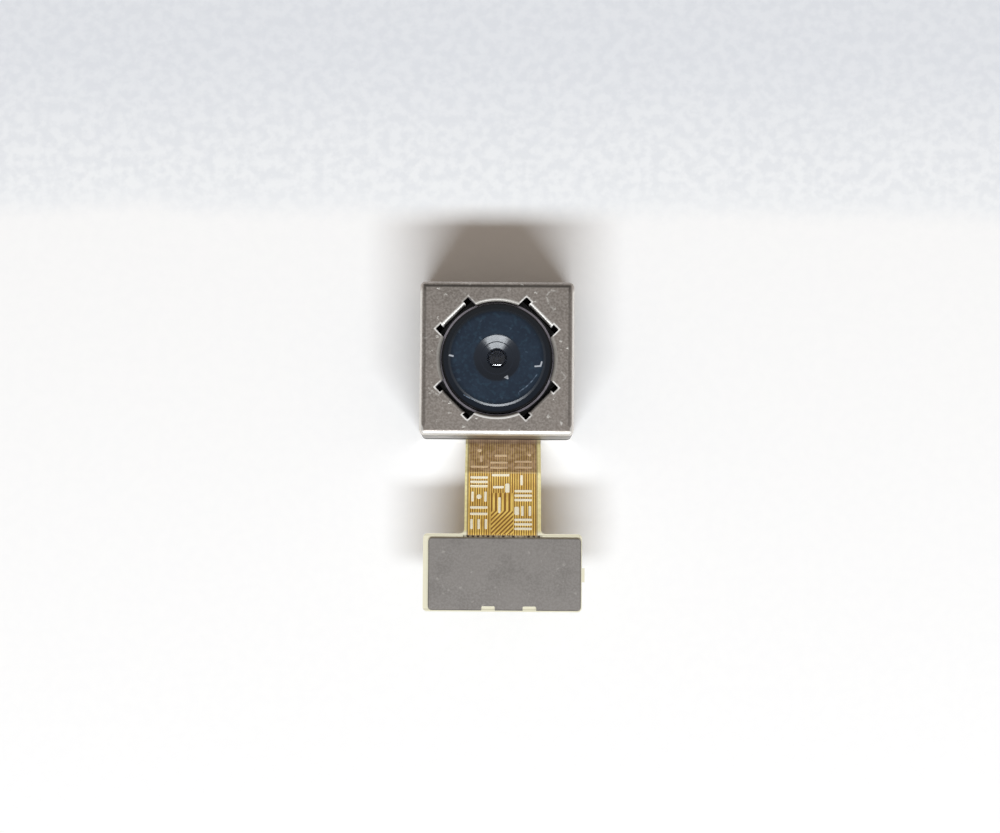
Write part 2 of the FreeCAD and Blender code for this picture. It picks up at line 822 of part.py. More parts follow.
def make_sensor_holder():
    """Moulded frame over the sensor, open below, with a ledge for the infrared filter."""
    body = make_block("sensor_holder", "head_width", "head_depth", "head_corner", FLEX_TOP, "holder_height")
    cavity = new_sketch(body, lift=FLEX_TOP)
    draw_rectangle(cavity, "(head_width - 2 * holder_wall)", "(head_depth - 2 * holder_wall)")
    add_pocket(cavity, "(holder_height - holder_roof)", upward=True)
    window = new_sketch(body, lift=HOLDER_TOP)
    draw_rectangle(window, "(filter_width - 2 * filter_ledge)", "(filter_depth - 2 * filter_ledge)")
    add_pocket(window, "holder_roof")
    seat = new_sketch(body, lift=HOLDER_TOP)
    draw_rectangle(seat, "(filter_width + 2 * fit_clearance)", "(filter_depth + 2 * fit_clearance)")
    add_pocket(seat, "filter_thick")
    cut_terminal_slots(body, FLEX_TOP)


# Focus motor


def make_motor_base():
    """Moulded base: a flange under the can, a plug inside it, corner posts and stops."""
    body = make_block(
        "motor_base", "head_width", "head_depth", "head_corner", HOLDER_TOP, "base_flange_height"
    )
    plug = new_sketch(body, lift=FLANGE_TOP)
    plug_width = f"(2 * {CAN_INSIDE_X} - 2 * fit_clearance)"
    plug_depth = f"(2 * {CAN_INSIDE_Y} - 2 * fit_clearance)"
    draw_rectangle(plug, plug_width, plug_depth)
    add_pad(plug, "base_plug_height")
    add_fillet(body, "(head_corner - can_wall)", lambda edge: is_outer_corner(edge, plug_width, plug_depth))
    post_x, post_y = f"({CAN_INSIDE_X} - fit_clearance)", f"({CAN_INSIDE_Y} - fit_clearance)"
    add_corner_plates(body, post_x, post_y, BASE_TOP, "base_post_height")
    stops = new_sketch(body, lift=BASE_TOP)
    middle = f"({SPRING_RING_INNER} + spring_ring_width / 2)"
    width = "spring_ring_width"
    for sign in ("-", ""):
        draw_rectangle(stops, width, "stop_width", f"({sign}{middle})", "0")
        draw_rectangle(stops, "stop_width", width, "0", f"({sign}{middle})")
    add_pad(stops, "base_post_height")
    hole = new_sketch(body, lift=HOLDER_TOP)
    draw_circle(hole, BASE_APERTURE)
    add_pocket(hole)
    cut_terminal_slots(body, HOLDER_TOP)


def make_terminals():
    """Two stamped strips from the lower spring down to a foot on the circuit, and their solder."""
    for side, sign in (("left", "-"), ("right", "")):
        body = new_body(f"focus_terminal_{side}")
        sketch = new_sketch(body, "YZ_Plane", lift=f"({sign}terminal_spacing / 2)")
        foot_top = f"({FLEX_TOP} + terminal_thick)"
        foot_end = f"({TERMINAL_BACK} + terminal_foot)"
        draw_polygon(
            sketch,
            [
                (TERMINAL_BACK, FLEX_TOP),
                (foot_end, FLEX_TOP),
                (foot_end, foot_top),
                (TERMINAL_FRONT, foot_top),
                (TERMINAL_FRONT, LOWER_SPRING),
                (TERMINAL_BACK, LOWER_SPRING),
            ],
        )
        add_pad(sketch, "terminal_width", symmetric=True)

    body = new_body("terminal_solder")
    foot_top = f"({FLEX_TOP} + terminal_thick)"
    foot_end = f"({TERMINAL_BACK} + terminal_foot)"
    for sign in ("-", ""):
        sketch = new_sketch(body, "YZ_Plane", lift=f"({sign}terminal_spacing / 2)")
        draw_polygon(
            sketch,
            [
                (TERMINAL_FRONT, foot_top),
                (foot_end, foot_top),
                (f"({TERMINAL_FRONT} + terminal_thick / 2)", f"({foot_top} + solder_height / 2)"),
                (TERMINAL_FRONT, f"({foot_top} + solder_height)"),
            ],
        )
        add_pad(sketch, "terminal_width", symmetric=True)


def make_leaf_spring(label, lift, kept=None):
    """A stamped leaf spring: an outer frame, four folded arms and an inner ring."""
    body = new_body(label)
    inside_x, inside_y = f"({CAN_INSIDE_X} - fit_clearance)", f"({CAN_INSIDE_Y} - fit_clearance)"
    add_frame(body, inside_x, inside_y, lift, "spring_thick")
    arm = new_sketch(body, lift=lift, turn=45)
    ring_middle = f"({SPRING_RING_INNER} + spring_ring_width / 2)"
    ring_end = f"(sqrt({ring_middle} * {ring_middle} - spring_arm_start * spring_arm_start))"
    plate_end = "(magnet_face + spring_arm)"
    draw_polygon(
        arm,
        [
            (ring_end, "(-spring_arm_start - spring_arm / 2)"),
            ("(spring_arm_run + spring_arm / 2)", "(-spring_arm_start - spring_arm / 2)"),
            ("(spring_arm_run + spring_arm / 2)", "(spring_arm_end - spring_arm / 2)"),
            (plate_end, "(spring_arm_end - spring_arm / 2)"),
            (plate_end, "(spring_arm_end + spring_arm / 2)"),
            ("(spring_arm_run - spring_arm / 2)", "(spring_arm_end + spring_arm / 2)"),
            ("(spring_arm_run - spring_arm / 2)", "(-spring_arm_start + spring_arm / 2)"),
            (ring_end, "(-spring_arm_start + spring_arm / 2)"),
        ],
    )
    add_turns([add_pad(arm, "spring_thick")])
    ring = new_sketch(body, lift=lift)
    draw_circle(ring, SPRING_RING_OUTER)
    draw_circle(ring, SPRING_RING_INNER)
    add_pad(ring, "spring_thick")
    if kept:
        other_half = new_sketch(body, lift=lift)
        middle = f"({-kept} * (head_width / 2 - spring_split / 2))"
        draw_rectangle(other_half, "head_width", "(2 * head_depth)", middle, "0")
        add_pocket(other_half)


def make_magnets():
    """Four magnets in the corners of the can, between the two springs."""
    inside_x, inside_y = f"({CAN_INSIDE_X} - fit_clearance)", f"({CAN_INSIDE_Y} - fit_clearance)"
    for place, (x_sign, y_sign) in QUARTERS.items():
        body = new_body(f"magnet_{place}")
        sketch = new_sketch(body, lift=CARRIER_BOTTOM)
        draw_polygon(sketch, mirrored_outline(corner_plate(inside_x, inside_y), x_sign, y_sign))
        add_pad(sketch, "carrier_height")


def make_top_spacer():
    """Plastic frame that holds the upper spring's rim off the can."""
    body = new_body("top_spacer")
    clearance = "(can_bend - can_wall + fit_clearance)"
    inside_x, inside_y = f"({CAN_INSIDE_X} - {clearance})", f"({CAN_INSIDE_Y} - {clearance})"
    add_frame(body, inside_x, inside_y, SPACER_BOTTOM, f"({CAN_CEILING} - {SPACER_BOTTOM})")


def make_lens_holder():
    """The moving carrier: a threaded tube with pads, a seat and a lip for the coil."""
    body = new_body("lens_holder")
    tube = new_sketch(body, lift=CARRIER_BOTTOM)
    draw_circle(tube, CARRIER_RADIUS)
    add_pad(tube, "carrier_height")
    lip = new_sketch(body, lift=f"({COIL_BOTTOM} - coil_lip_height)")
    draw_octagon(lip, COIL_OUTER, COIL_OUTER_DIAGONAL)
    add_pad(lip, "coil_lip_height")
    seat = new_sketch(body, lift=COIL_BOTTOM)
    draw_octagon(seat, CARRIER_PAD, "coil_diagonal")
    add_pad(seat, "coil_seat_height")
    pads = new_sketch(body, lift=COIL_BOTTOM)
    draw_octagon(pads, CARRIER_PAD, CARRIER_RADIUS)
    add_pad(pads, f"({CARRIER_TOP} - {COIL_BOTTOM} - carrier_pad_drop)")
    bore = new_sketch(body, lift=CARRIER_BOTTOM)
    draw_circle(bore, CARRIER_BORE)
    add_pocket(bore)


def make_coil():
    """The wound coil, an eight-sided ring with rounded outer corners."""
    body = new_body("focus_coil")
    sketch = new_sketch(body, lift=COIL_BOTTOM)
    draw_octagon(sketch, COIL_OUTER, COIL_OUTER_DIAGONAL)
    add_pad(sketch, "coil_height")
    add_fillet(body, "coil_corner", is_upright)
    hollow = new_sketch(body, lift=COIL_BOTTOM)
    draw_octagon(hollow, CARRIER_PAD, "coil_diagonal")
    add_pocket(hollow)


def is_on_can_top(edge):
    """True for an edge that lies in the can's top face."""
    top = value(CAN_TOP)
    return abs(edge.BoundBox.ZMin - top) < NEAR and abs(edge.BoundBox.ZMax - top) < NEAR


def is_on_opening(edge):
    """True for the whole round edge of the can's opening, in its top face."""
    is_round = edge.Curve.TypeId == "Part::GeomCircle" and edge.isClosed()
    return is_round and is_on_can_top(edge) and abs(edge.Curve.Radius - value(OPENING_RADIUS)) < NEAR


def is_on_leg_bend(edge):
    """True for the edges in the can's top face where the legs fold down."""
    middle = edge.CenterOfMass
    from_axis = math.hypot(middle.x, middle.y)
    return is_on_can_top(edge) and abs(from_axis - value("leg_distance")) < NEAR


def is_on_notch(edge):
    """True for the upright edges at the outer corners of the notches beside the legs."""
    middle = edge.CenterOfMass
    out = (abs(middle.x) + abs(middle.y)) / math.sqrt(2)
    across = abs(abs(middle.x) - abs(middle.y)) / math.sqrt(2)
    at_corner = abs(out - value("notch_reach")) < NEAR and abs(across - value(HALF_WINDOW)) < NEAR
    return is_upright(edge) and at_corner


def make_shield_can():
    """A drawn can with a curled lip at its opening and four legs folded down beside it."""
    body = make_block("shield_can", "head_width", "head_depth", "head_corner", FLANGE_TOP, "can_height")
    add_fillet(body, "can_bend", is_on_can_top)

    solid = body.Tip
    floor = next(
        f"Face{number}"
        for number, face in enumerate(solid.Shape.Faces, start=1)
        if abs(face.BoundBox.ZMax - value(FLANGE_TOP)) < NEAR
    )
    shell = body.newObject("PartDesign::Thickness", "shield_can_shell")
    shell.Base = (solid, [floor])
    shell.setExpression("Value", linked("can_wall"))
    shell.Reversed = True
    doc.recompute()

    opening = new_sketch(body, lift=CAN_TOP)
    draw_circle(opening, OPENING_RADIUS)
    add_pocket(opening, "(2 * can_wall)")
    lip = new_sketch(body, lift=CAN_CEILING)
    draw_circle(lip, f"({OPENING_RADIUS} + can_wall)")
    draw_circle(lip, OPENING_RADIUS)
    add_pad(lip, "(lip_height - can_wall)", downward=True)

    add_fillet(body, "lip_bend", is_on_opening)

    window = new_sketch(body, lift=CAN_TOP, turn=45)
    half_leg = "(leg_width / 2)"
    inner = f"({OPENING_RADIUS} - {HALF_WINDOW})"
    draw_polygon(
        window,
        [
            (inner, f"(-{HALF_WINDOW})"),
            ("notch_reach", f"(-{HALF_WINDOW})"),
            ("notch_reach", f"(-{half_leg})"),
            ("leg_distance", f"(-{half_leg})"),
            ("leg_distance", half_leg),
            ("notch_reach", half_leg),
            ("notch_reach", HALF_WINDOW),
            (inner, HALF_WINDOW),
        ],
    )
    add_turns([add_pocket(window, "(2 * lip_height)")])
    leg = new_sketch(body, lift=CAN_CEILING, turn=45)
    draw_rectangle(leg, "can_wall", "leg_width", "(leg_distance + can_wall / 2)", "0")
    add_turns([add_pad(leg, "(leg_drop - can_wall)", downward=True)])
    add_fillet(body, "leg_bend", is_on_leg_bend)
    add_fillet(body, "notch_corner", is_on_notch)


# Lens barrel and lens stack


def make_lens_barrel():
    """Turned barrel: a chamfered face, a stepped recess, the stop and four lens seats."""
    body = new_body("lens_barrel")
    sketch = new_sketch(body, "XZ_Plane")
    seats = [
        ("front_lens_radius", FRONT_LENS),
        ("second_lens_radius", SECOND_LENS),
        ("third_lens_radius", THIRD_LENS),
        ("rear_lens_radius", REAR_LENS),
    ]
    profile = [
        (BARREL_SKIRT, BARREL_BOTTOM),
        (BARREL_SKIRT, BARREL_SHOULDER),
        ("barrel_radius", BARREL_SHOULDER),
        ("barrel_radius", f"({BARREL_TOP} - barrel_chamfer_drop)"),
        ("(barrel_face_radius + barrel_edge_width)", f"({BARREL_TOP} - barrel_edge_drop)"),
        ("barrel_face_radius", BARREL_TOP),
        ("recess_radius", BARREL_TOP),
        ("recess_ledge_radius", f"({BARREL_TOP} - recess_ledge_depth)"),
        ("(recess_ledge_radius - recess_ledge_width)", f"({BARREL_TOP} - recess_ledge_depth)"),
        ("aperture_radius", f"({BARREL_TOP} - recess_depth)"),
        ("aperture_back_radius", f"({BARREL_TOP} - recess_depth - aperture_back_drop)"),
        ("aperture_back_radius", FRONT_LENS),
    ]
    for radius, front in seats:
        profile.append((f"({radius} + lens_clearance)", front))
        following = seats.index((radius, front)) + 1
        end = seats[following][1] if following < len(seats) else BARREL_BOTTOM
        profile.append((f"({radius} + lens_clearance)", end))
    draw_polygon(sketch, profile)
    add_revolution(sketch)


def draw_surface(sketch, vertex, rim):
    """One face of a lens from the axis to its rim: an arc about the axis, or a line where it is flat."""
    top = FreeCAD.Vector(value(vertex[0]), value(vertex[1]), 0)
    side = FreeCAD.Vector(value(rim[0]), value(rim[1]), 0)
    rise = top.y - side.y
    if abs(rise) < NEAR:
        draw_line(sketch, vertex, rim)
        return
    radius = (side.x ** 2 + rise ** 2) / (2 * rise)
    centre = FreeCAD.Vector(0, top.y - radius, 0)
    middle = centre + (top + side - centre * 2).normalize() * abs(radius)
    arc = sketch.addGeometry(Part.Arc(top, middle, side), False)
    for end in (1, 2):
        at_vertex = sketch.getPoint(arc, end).distanceToPoint(top) < NEAR
        place_point(sketch, arc, end, *(vertex if at_vertex else rim))
    sketch.addConstraint(Sketcher.Constraint("PointOnObject", arc, 3, -2))


def draw_line(sketch, start, end):
    """A straight line between two points, each a pair of formulas."""
    points = [FreeCAD.Vector(value(x), value(y), 0) for x, y in (start, end)]
    line = sketch.addGeometry(Part.LineSegment(*points), False)
    place_point(sketch, line, 1, *start)
    place_point(sketch, line, 2, *end)


def draw_lens(sketch, name, front):
    """Half the section of a lens: two faces on the axis and a flange between them."""
    back = f"({front} - {name}_thick)"
    front_vertex = ("0", f"({front} + {name}_front_rise)")
    back_vertex = ("0", f"({back} - {name}_back_rise)")
    front_rim, back_rim = (f"{name}_opening", front), (f"{name}_opening", back)
    flange = [front_rim, (f"{name}_radius", front), (f"{name}_radius", back), back_rim]
    draw_surface(sketch, front_vertex, front_rim)
    for start, end in zip(flange, flange[1:]):
        draw_line(sketch, start, end)
    draw_surface(sketch, back_vertex, back_rim)
    draw_line(sketch, back_vertex, front_vertex)


def make_lenses():
    """Four moulded lenses."""
    fronts = {
        "front_lens": FRONT_LENS,
        "second_lens": SECOND_LENS,
        "third_lens": THIRD_LENS,
        "rear_lens": REAR_LENS,
    }
    for name, front in fronts.items():
        body = new_body(name)
        sketch = new_sketch(body, "XZ_Plane")
        draw_lens(sketch, name, front)
        add_revolution(sketch)


def make_retainer():
    """The ring that closes the barrel behind the rear lens, with a sloping inner edge."""
    body = new_body("lens_retainer")
    sketch = new_sketch(body, "XZ_Plane")
    end = f"({RETAINER} - retainer_thick)"
    draw_polygon(
        sketch,
        [
            ("retainer_opening", RETAINER),
            ("rear_lens_radius", RETAINER),
            ("rear_lens_radius", end),
            ("(retainer_opening + retainer_thick / 2)", end),
        ],
    )
    add_revolution(sketch)


make_block(
    "back_plate",
    "(head_width - 2 * back_plate_inset)",
    "(head_depth - 2 * back_plate_inset)",
    "head_corner",
    "0",
    "back_plate_thick",
)
make_flexible_circuit()
make_block("image_sensor", "sensor_width", "sensor_depth", "", FLEX_TOP, "sensor_thick")
make_bond_wires()
make_capacitors()
make_focus_driver()
make_sensor_holder()
make_block(
    "infrared_filter",
    "filter_width",
    "filter_depth",
    "",
    f"({HOLDER_TOP} - filter_thick)",
    "filter_thick",
)
make_motor_base()
make_terminals()
make_leaf_spring("lower_spring_left", LOWER_SPRING, kept=-1)
make_leaf_spring("lower_spring_right", LOWER_SPRING, kept=1)
make_magnets()
make_leaf_spring("upper_spring", CARRIER_TOP)
make_top_spacer()
make_lens_holder()
make_coil()
make_shield_can()
make_lens_barrel()
make_lenses()
make_ring(
    "front_baffle", "front_lens_radius", "front_lens_opening", f"({SECOND_LENS})", "baffle_thick"
)
make_ring(
    "rear_baffle", "second_lens_radius", "second_lens_opening", f"({THIRD_LENS})", "baffle_thick"
)
make_ring(
    "lens_spacer_ring", "third_lens_radius", "third_lens_opening", f"({REAR_LENS})", "spacer_ring_thick"
)
make_retainer()
make_board_stiffener()
make_connector_housing()
make_connector_contacts()
make_hold_downs()

doc.recompute()
for item in doc.Objects:
    if "Invalid" in item.State or "Error" in item.State:
        raise RuntimeError(f"{item.Name} failed: {item.State}")
for part in PARTS:
    if part.Shape.isNull() or not part.Shape.isValid():
        raise RuntimeError(f"{part.Label} has no valid shape")
for part in PARTS:
    part.Shape.exportStep(f"parts/{part.Label}.step")
    print(part.Label, len(part.Shape.Solids), round(part.Shape.Volume, 4))
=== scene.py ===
"""A Blender 4.5 script that dresses an autofocus camera module on a short flexible circuit.

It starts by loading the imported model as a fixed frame, adds the printed ink that lies on the
circuit, gives every piece a node-based finish, and sets the floor, lights and camera.
Patterns are drawn in millimetres on each piece's own Object coordinates.
"""

import json
import math

import bpy
from mathutils import Matrix, Vector


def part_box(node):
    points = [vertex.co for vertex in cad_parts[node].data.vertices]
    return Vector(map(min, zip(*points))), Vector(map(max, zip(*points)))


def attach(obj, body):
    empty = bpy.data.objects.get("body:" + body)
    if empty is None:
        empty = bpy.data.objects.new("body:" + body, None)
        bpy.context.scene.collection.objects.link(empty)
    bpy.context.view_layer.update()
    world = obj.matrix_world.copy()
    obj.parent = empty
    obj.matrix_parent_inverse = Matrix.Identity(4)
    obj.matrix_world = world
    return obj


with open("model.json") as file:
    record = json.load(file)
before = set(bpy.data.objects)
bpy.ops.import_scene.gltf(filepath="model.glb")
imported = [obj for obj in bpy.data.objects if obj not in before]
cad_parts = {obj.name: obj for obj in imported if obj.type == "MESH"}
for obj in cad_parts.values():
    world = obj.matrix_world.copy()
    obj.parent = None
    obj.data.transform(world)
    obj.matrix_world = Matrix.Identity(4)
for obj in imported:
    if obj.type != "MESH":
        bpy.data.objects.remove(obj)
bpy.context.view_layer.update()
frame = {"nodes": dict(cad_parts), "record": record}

MM = 0.001
WHITE = (1.0, 1.0, 1.0, 1.0)

# Lamps, with angles in degrees: a wide window far off, and what the can's front wall throws back
KEY_ELEVATION = 49.5
KEY_ASIDE = 2
KEY_DISTANCE = 600 * MM
KEY_WIDTH = 570 * MM
KEY_DEPTH = 90 * MM
KEY_POWER = 3.85
KEY_TINT = (0.95, 1.0, 1.045)
WALL_GLOW_POWER = 0.00008
WALL_GLOW_GAP = 0.02 * MM

# The surround: its even fill, and the brightness that shiny surfaces mirror
WORLD_FILL = 0.24
FILL_TINT = (1.17, 1.0, 0.85, 1.0)
SKY_HORIZON = 1.0
SKY_ZENITH = 0.39
SKY_MIDDLE = 0.4
SKY_BEHIND = 0.4
SKY_BELOW_LAMP = 0.35

# Where the surround changes, as parts of a direction of length 1
HORIZON_UP = (0.1, 0.42)
ZENITH_UP = (0.85, 0.98)
CEILING_UP = (0.62, 0.74)
CEILING_BEHIND = (0.2, 0.4)
LAMP_SIDE = (-0.8, -0.3)

# Floor, with the places along Y where its paper changes, and camera
FLOOR_SIZE = 900 * MM
PAPER_TURNS = (9.0, 10.6)
PAPER_DARKENS = (9.8, 20.0)
PAPER_MOTTLES = (8.8, 12.0)
CAMERA_TILT = 3.3
CAMERA_DISTANCE = 140 * MM
CAMERA_ROLL = 0.4
CAMERA_AIM = (0.19, -3.21, 5.15)
PICTURE_WIDTH = 54.95 * MM
SENSOR_WIDTH = 36

# The shield can, in millimetres
CAN_LOW, CAN_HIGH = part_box("shield_can")
CAN_TOP = CAN_HIGH.z / MM
CAN_EDGE_INSET = 0.28
CAN_EDGE = CAN_HIGH.x / MM - CAN_EDGE_INSET
FRONT_BEND = (-3.9, -3.6)
# Where the painted shade line along the bends grows stronger at the rear
REAR_BEND_SHADE = (3.5, 3.9)
REAR_BEND = (3.6, 4.0)
LIP_EDGE = 3.33
LIP_FRONT = (-2.4, -3.0)
LEG_MIDDLE = (3.43, 0.0, 0.0)
LEG_HALF_SIZE = (0.1, 0.87, 1.0)
NOTCH_MIDDLE = (3.34, 1.07, 0.0)
NOTCH_HALF_SIZE = (0.28, 0.27, 1.0)

# The barrel and its front lens
FACE_EDGE = 2.56
EDGE_WIDTH = 0.12
# The ring at the barrel's outer rim that is painted near-black as shade
BARREL_RIM_SHADE = (2.9, 2.98)
RECESS_EDGE = 1.26
_, FRONT_LENS_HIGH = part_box("front_lens")
FRONT_LENS_TOP = FRONT_LENS_HIGH.z / MM
COATED_DEPTH = 0.4
FRONT_LENS_RIM = FRONT_LENS_TOP - COATED_DEPTH
GLASS_IOR = 1.53

# The stiffener plate
PLATE_LOW, PLATE_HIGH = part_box("connector_stiffener")
PLATE_RIM = 0.04
PLATE_MIDDLE = (PLATE_LOW + PLATE_HIGH) / (2 * MM)
PLATE_HALF_SIZE = (PLATE_HIGH - PLATE_LOW) / (2 * MM) - Vector((PLATE_RIM, PLATE_RIM, 0.0))

# The circuit: its neck rises steeply from the head to a crease, then gently on to the board
CIRCUIT_LOW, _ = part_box("flex_circuit")
FLEX_THICK = 0.15
NECK_RISE_ANGLE = math.radians(47)
NECK_REACH_ANGLE = math.radians(22)
NECK_RISE_RUN = 1.82
NECK_ROOT = 0.22
NECK_TOP = CAN_LOW.y / MM
ANGLE_MEAN = (NECK_RISE_ANGLE + NECK_REACH_ANGLE) / 2
ANGLE_SPREAD = (NECK_RISE_ANGLE - NECK_REACH_ANGLE) / 2
CREASE_Y = NECK_TOP - NECK_ROOT - NECK_RISE_RUN
CREASE_Z = CIRCUIT_LOW.z / MM + NECK_RISE_RUN * math.tan(NECK_RISE_ANGLE)
CREASE_TOP_Y = CREASE_Y + FLEX_THICK * math.sin(ANGLE_MEAN) / math.cos(ANGLE_SPREAD)
CREASE_TOP_Z = CREASE_Z + FLEX_THICK * math.cos(ANGLE_MEAN) / math.cos(ANGLE_SPREAD)
BOARD_TOP = PLATE_LOW.z / MM
BOARD_EDGE = CREASE_TOP_Y - (BOARD_TOP - CREASE_TOP_Z) / math.tan(NECK_REACH_ANGLE)
BOARD_LEFT, BOARD_RIGHT, BOARD_END = CIRCUIT_LOW.x / MM, 4.78, CIRCUIT_LOW.y / MM
BOARD_MIDDLE = ((BOARD_LEFT + BOARD_RIGHT) / 2, (BOARD_EDGE + BOARD_END) / 2, 0.0)
BOARD_HALF_SIZE = ((BOARD_RIGHT - BOARD_LEFT) / 2, (BOARD_EDGE - BOARD_END) / 2, 1.0)
NECK_AXIS = 0.38
FOLD_MIDDLE = (NECK_AXIS, CREASE_TOP_Y, 0.0)
FOLD_HALF_SIZE = (1.85, 0.03, 1.0)

# Copper in the neck. A pitch is half the distance from one track to the next
COPPER_LEFT, COPPER_RIGHT = -1.55, 2.25
COPPER_OVERLAP = 0.12
COPPER_MIDDLE = ((COPPER_LEFT + COPPER_RIGHT) / 2, (NECK_TOP + BOARD_EDGE) / 2, 0.0)
COPPER_HALF_SIZE = ((COPPER_RIGHT - COPPER_LEFT) / 2, (NECK_TOP - BOARD_EDGE) / 2 + COPPER_OVERLAP, 1.0)
TRACK_PITCH = 0.065
FAN_PITCH = 0.125
FAN_START = -8.35
FAN_LENGTH = 1.4
FAN_MIDDLE = (0.35, FAN_START - 0.15, 0.0)
FAN_HALF_SIZE = (0.62, 1.15, 1.0)
PAD_PITCH = 0.14
PAD_ROW_MIDDLE = (NECK_AXIS, BOARD_EDGE - 0.17, 0.0)
PAD_ROW_HALF_SIZE = (2.2, 0.06, 1.0)

# Scratches, scuffs and painted glints, each with its width and the places that it runs through
CAN_SCRATCHES = [
    (0.09, [(3.3, 3.7), (2.95, 3.78), (2.68, 3.45), (2.85, 3.02), (3.1, 2.7)]),
    (0.08, [(-3.75, -1.65), (-3.45, -1.9), (-3.2, -2.05)]),
    (0.08, [(3.55, -0.75), (3.8, -1.0), (3.6, -1.25)]),
    (0.08, [(-2.0, 3.75), (-1.75, 3.55)]),
]
BARREL_SCUFFS = [
    (0.05, [(2.2, -0.9), (1.95, -1.25), (1.6, -1.6), (1.25, -1.85)]),
    (0.04, [(-1.8, -2.05), (-1.55, -2.2), (-1.2, -2.35)]),
]
BARREL_GLINTS = [
    (0.09, [(-2.6, 0.12), (-2.42, 0.08)]),
    (0.08, [(2.1, -0.46), (2.4, -0.44), (2.46, -0.22)]),
    (0.07, [(0.44, -1.08), (0.58, -1.0), (0.6, -1.14), (0.5, -1.1)]),
]

# Printed ink: three columns of marks, in millimetres. Their rounding is a share of their size
LEFT_COLUMN, MIDDLE_COLUMN, RIGHT_COLUMN = -0.95, 0.25, 1.52
INK_THICK = 0.014
BAR_LENGTH = 0.98
BAR_WIDTH = 0.14
POST_LENGTH = 0.6
DASH_ROUNDING = 0.3
DOT_ROUNDING = 0.6
DOT_SIDES = 20
NEARLY_PARALLEL = 0.99


def paint(red, green, blue):
    """A colour from its 0 to 255 values on screen."""
    shares = [channel / 255 for channel in (red, green, blue)]
    return tuple(s / 12.92 if s < 0.04045 else ((s + 0.055) / 1.055) ** 2.4 for s in shares) + (1.0,)


# Small node helpers


def feed(tree, socket, source):
    """Sets a socket to a plain value, or links another node's output to it."""
    if isinstance(source, bpy.types.NodeSocket):
        tree.links.new(source, socket)
    else:
        socket.default_value = source


def calculate(tree, operation, first, second=0.0):
    """One step of arithmetic."""
    node = tree.nodes.new("ShaderNodeMath")
    node.operation = operation
    feed(tree, node.inputs[0], first)
    feed(tree, node.inputs[1], second)
    return node.outputs[0]


def multiply(tree, first, *others):
    """Several masks or numbers multiplied together."""
    product = first
    for other in others:
        product = calculate(tree, "MULTIPLY", product, other)
    return product


def strongest(tree, first, *others):
    """The largest of several masks at each place."""
    largest = first
    for other in others:
        largest = calculate(tree, "MAXIMUM", largest, other)
    return largest


def invert(tree, mask):
    """A mask turned round, so that 0 becomes 1."""
    return calculate(tree, "SUBTRACT", 1.0, mask)


def calculate_vector(tree, operation, first, second=(0.0, 0.0, 0.0), output="Vector"):
    """One step of arithmetic on places."""
    node = tree.nodes.new("ShaderNodeVectorMath")
    node.operation = operation
    feed(tree, node.inputs[0], first)
    feed(tree, node.inputs[1], second)
    return node.outputs[output]


def scale_vector(tree, vector, factor):
    """A place multiplied by a number."""
    node = tree.nodes.new("ShaderNodeVectorMath")
    node.operation = "SCALE"
    feed(tree, node.inputs[0], vector)
    feed(tree, node.inputs["Scale"], factor)
    return node.outputs["Vector"]


def fade(tree, amount, start, end, low=0.0, high=1.0):
    """Turns an amount smoothly from low at start to high at end."""
    node = tree.nodes.new("ShaderNodeMapRange")
    node.interpolation_type = "SMOOTHSTEP"
    feed(tree, node.inputs["Value"], amount)
    feed(tree, node.inputs["From Min"], start)
    feed(tree, node.inputs["From Max"], end)
    feed(tree, node.inputs["To Min"], low)
    feed(tree, node.inputs["To Max"], high)
    return node.outputs["Result"]


def between(tree, amount, rise, fall):
    """1 between two soft limits. Each limit is the pair of amounts where it starts and ends."""
    return multiply(tree, fade(tree, amount, *rise), fade(tree, amount, fall[1], fall[0]))


def mix(tree, factor, first, second):
    """Lays the second colour over the first."""
    node = tree.nodes.new("ShaderNodeMix")
    node.data_type = "RGBA"
    feed(tree, node.inputs["Factor"], factor)
    colours = [socket for socket in node.inputs if socket.type == "RGBA"]
    feed(tree, colours[0], first)
    feed(tree, colours[1], second)
    return next(socket for socket in node.outputs if socket.type == "RGBA")


def mix_numbers(tree, factor, first, second):
    """The first number where the factor is 0, the second where it is 1."""
    rise = multiply(tree, factor, calculate(tree, "SUBTRACT", second, first))
    return calculate(tree, "ADD", first, rise)


def noise(tree, place, scale, detail=2.0):
    """Cloudy noise from 0 to 1."""
    node = tree.nodes.new("ShaderNodeTexNoise")
    feed(tree, node.inputs["Vector"], place)
    feed(tree, node.inputs["Scale"], scale)
    node.inputs["Detail"].default_value = detail
    return node.outputs["Fac"]


def split(tree, vector):
    """The three parts of a place."""
    node = tree.nodes.new("ShaderNodeSeparateXYZ")
    feed(tree, node.inputs[0], vector)
    return node.outputs["X"], node.outputs["Y"], node.outputs["Z"]


# Shared effects, each one a node group


def new_group(name, inputs, outputs):
    """An empty node group with named sockets."""
    group = bpy.data.node_groups.new(name, "ShaderNodeTree")
    kinds = {"vector": "NodeSocketVector", "colour": "NodeSocketColor", "number": "NodeSocketFloat"}
    for label, kind in inputs:
        group.interface.new_socket(label, in_out="INPUT", socket_type=kinds[kind])
    for label, kind in outputs:
        group.interface.new_socket(label, in_out="OUTPUT", socket_type=kinds[kind])
    return group, group.nodes.new("NodeGroupInput").outputs, group.nodes.new("NodeGroupOutput").inputs


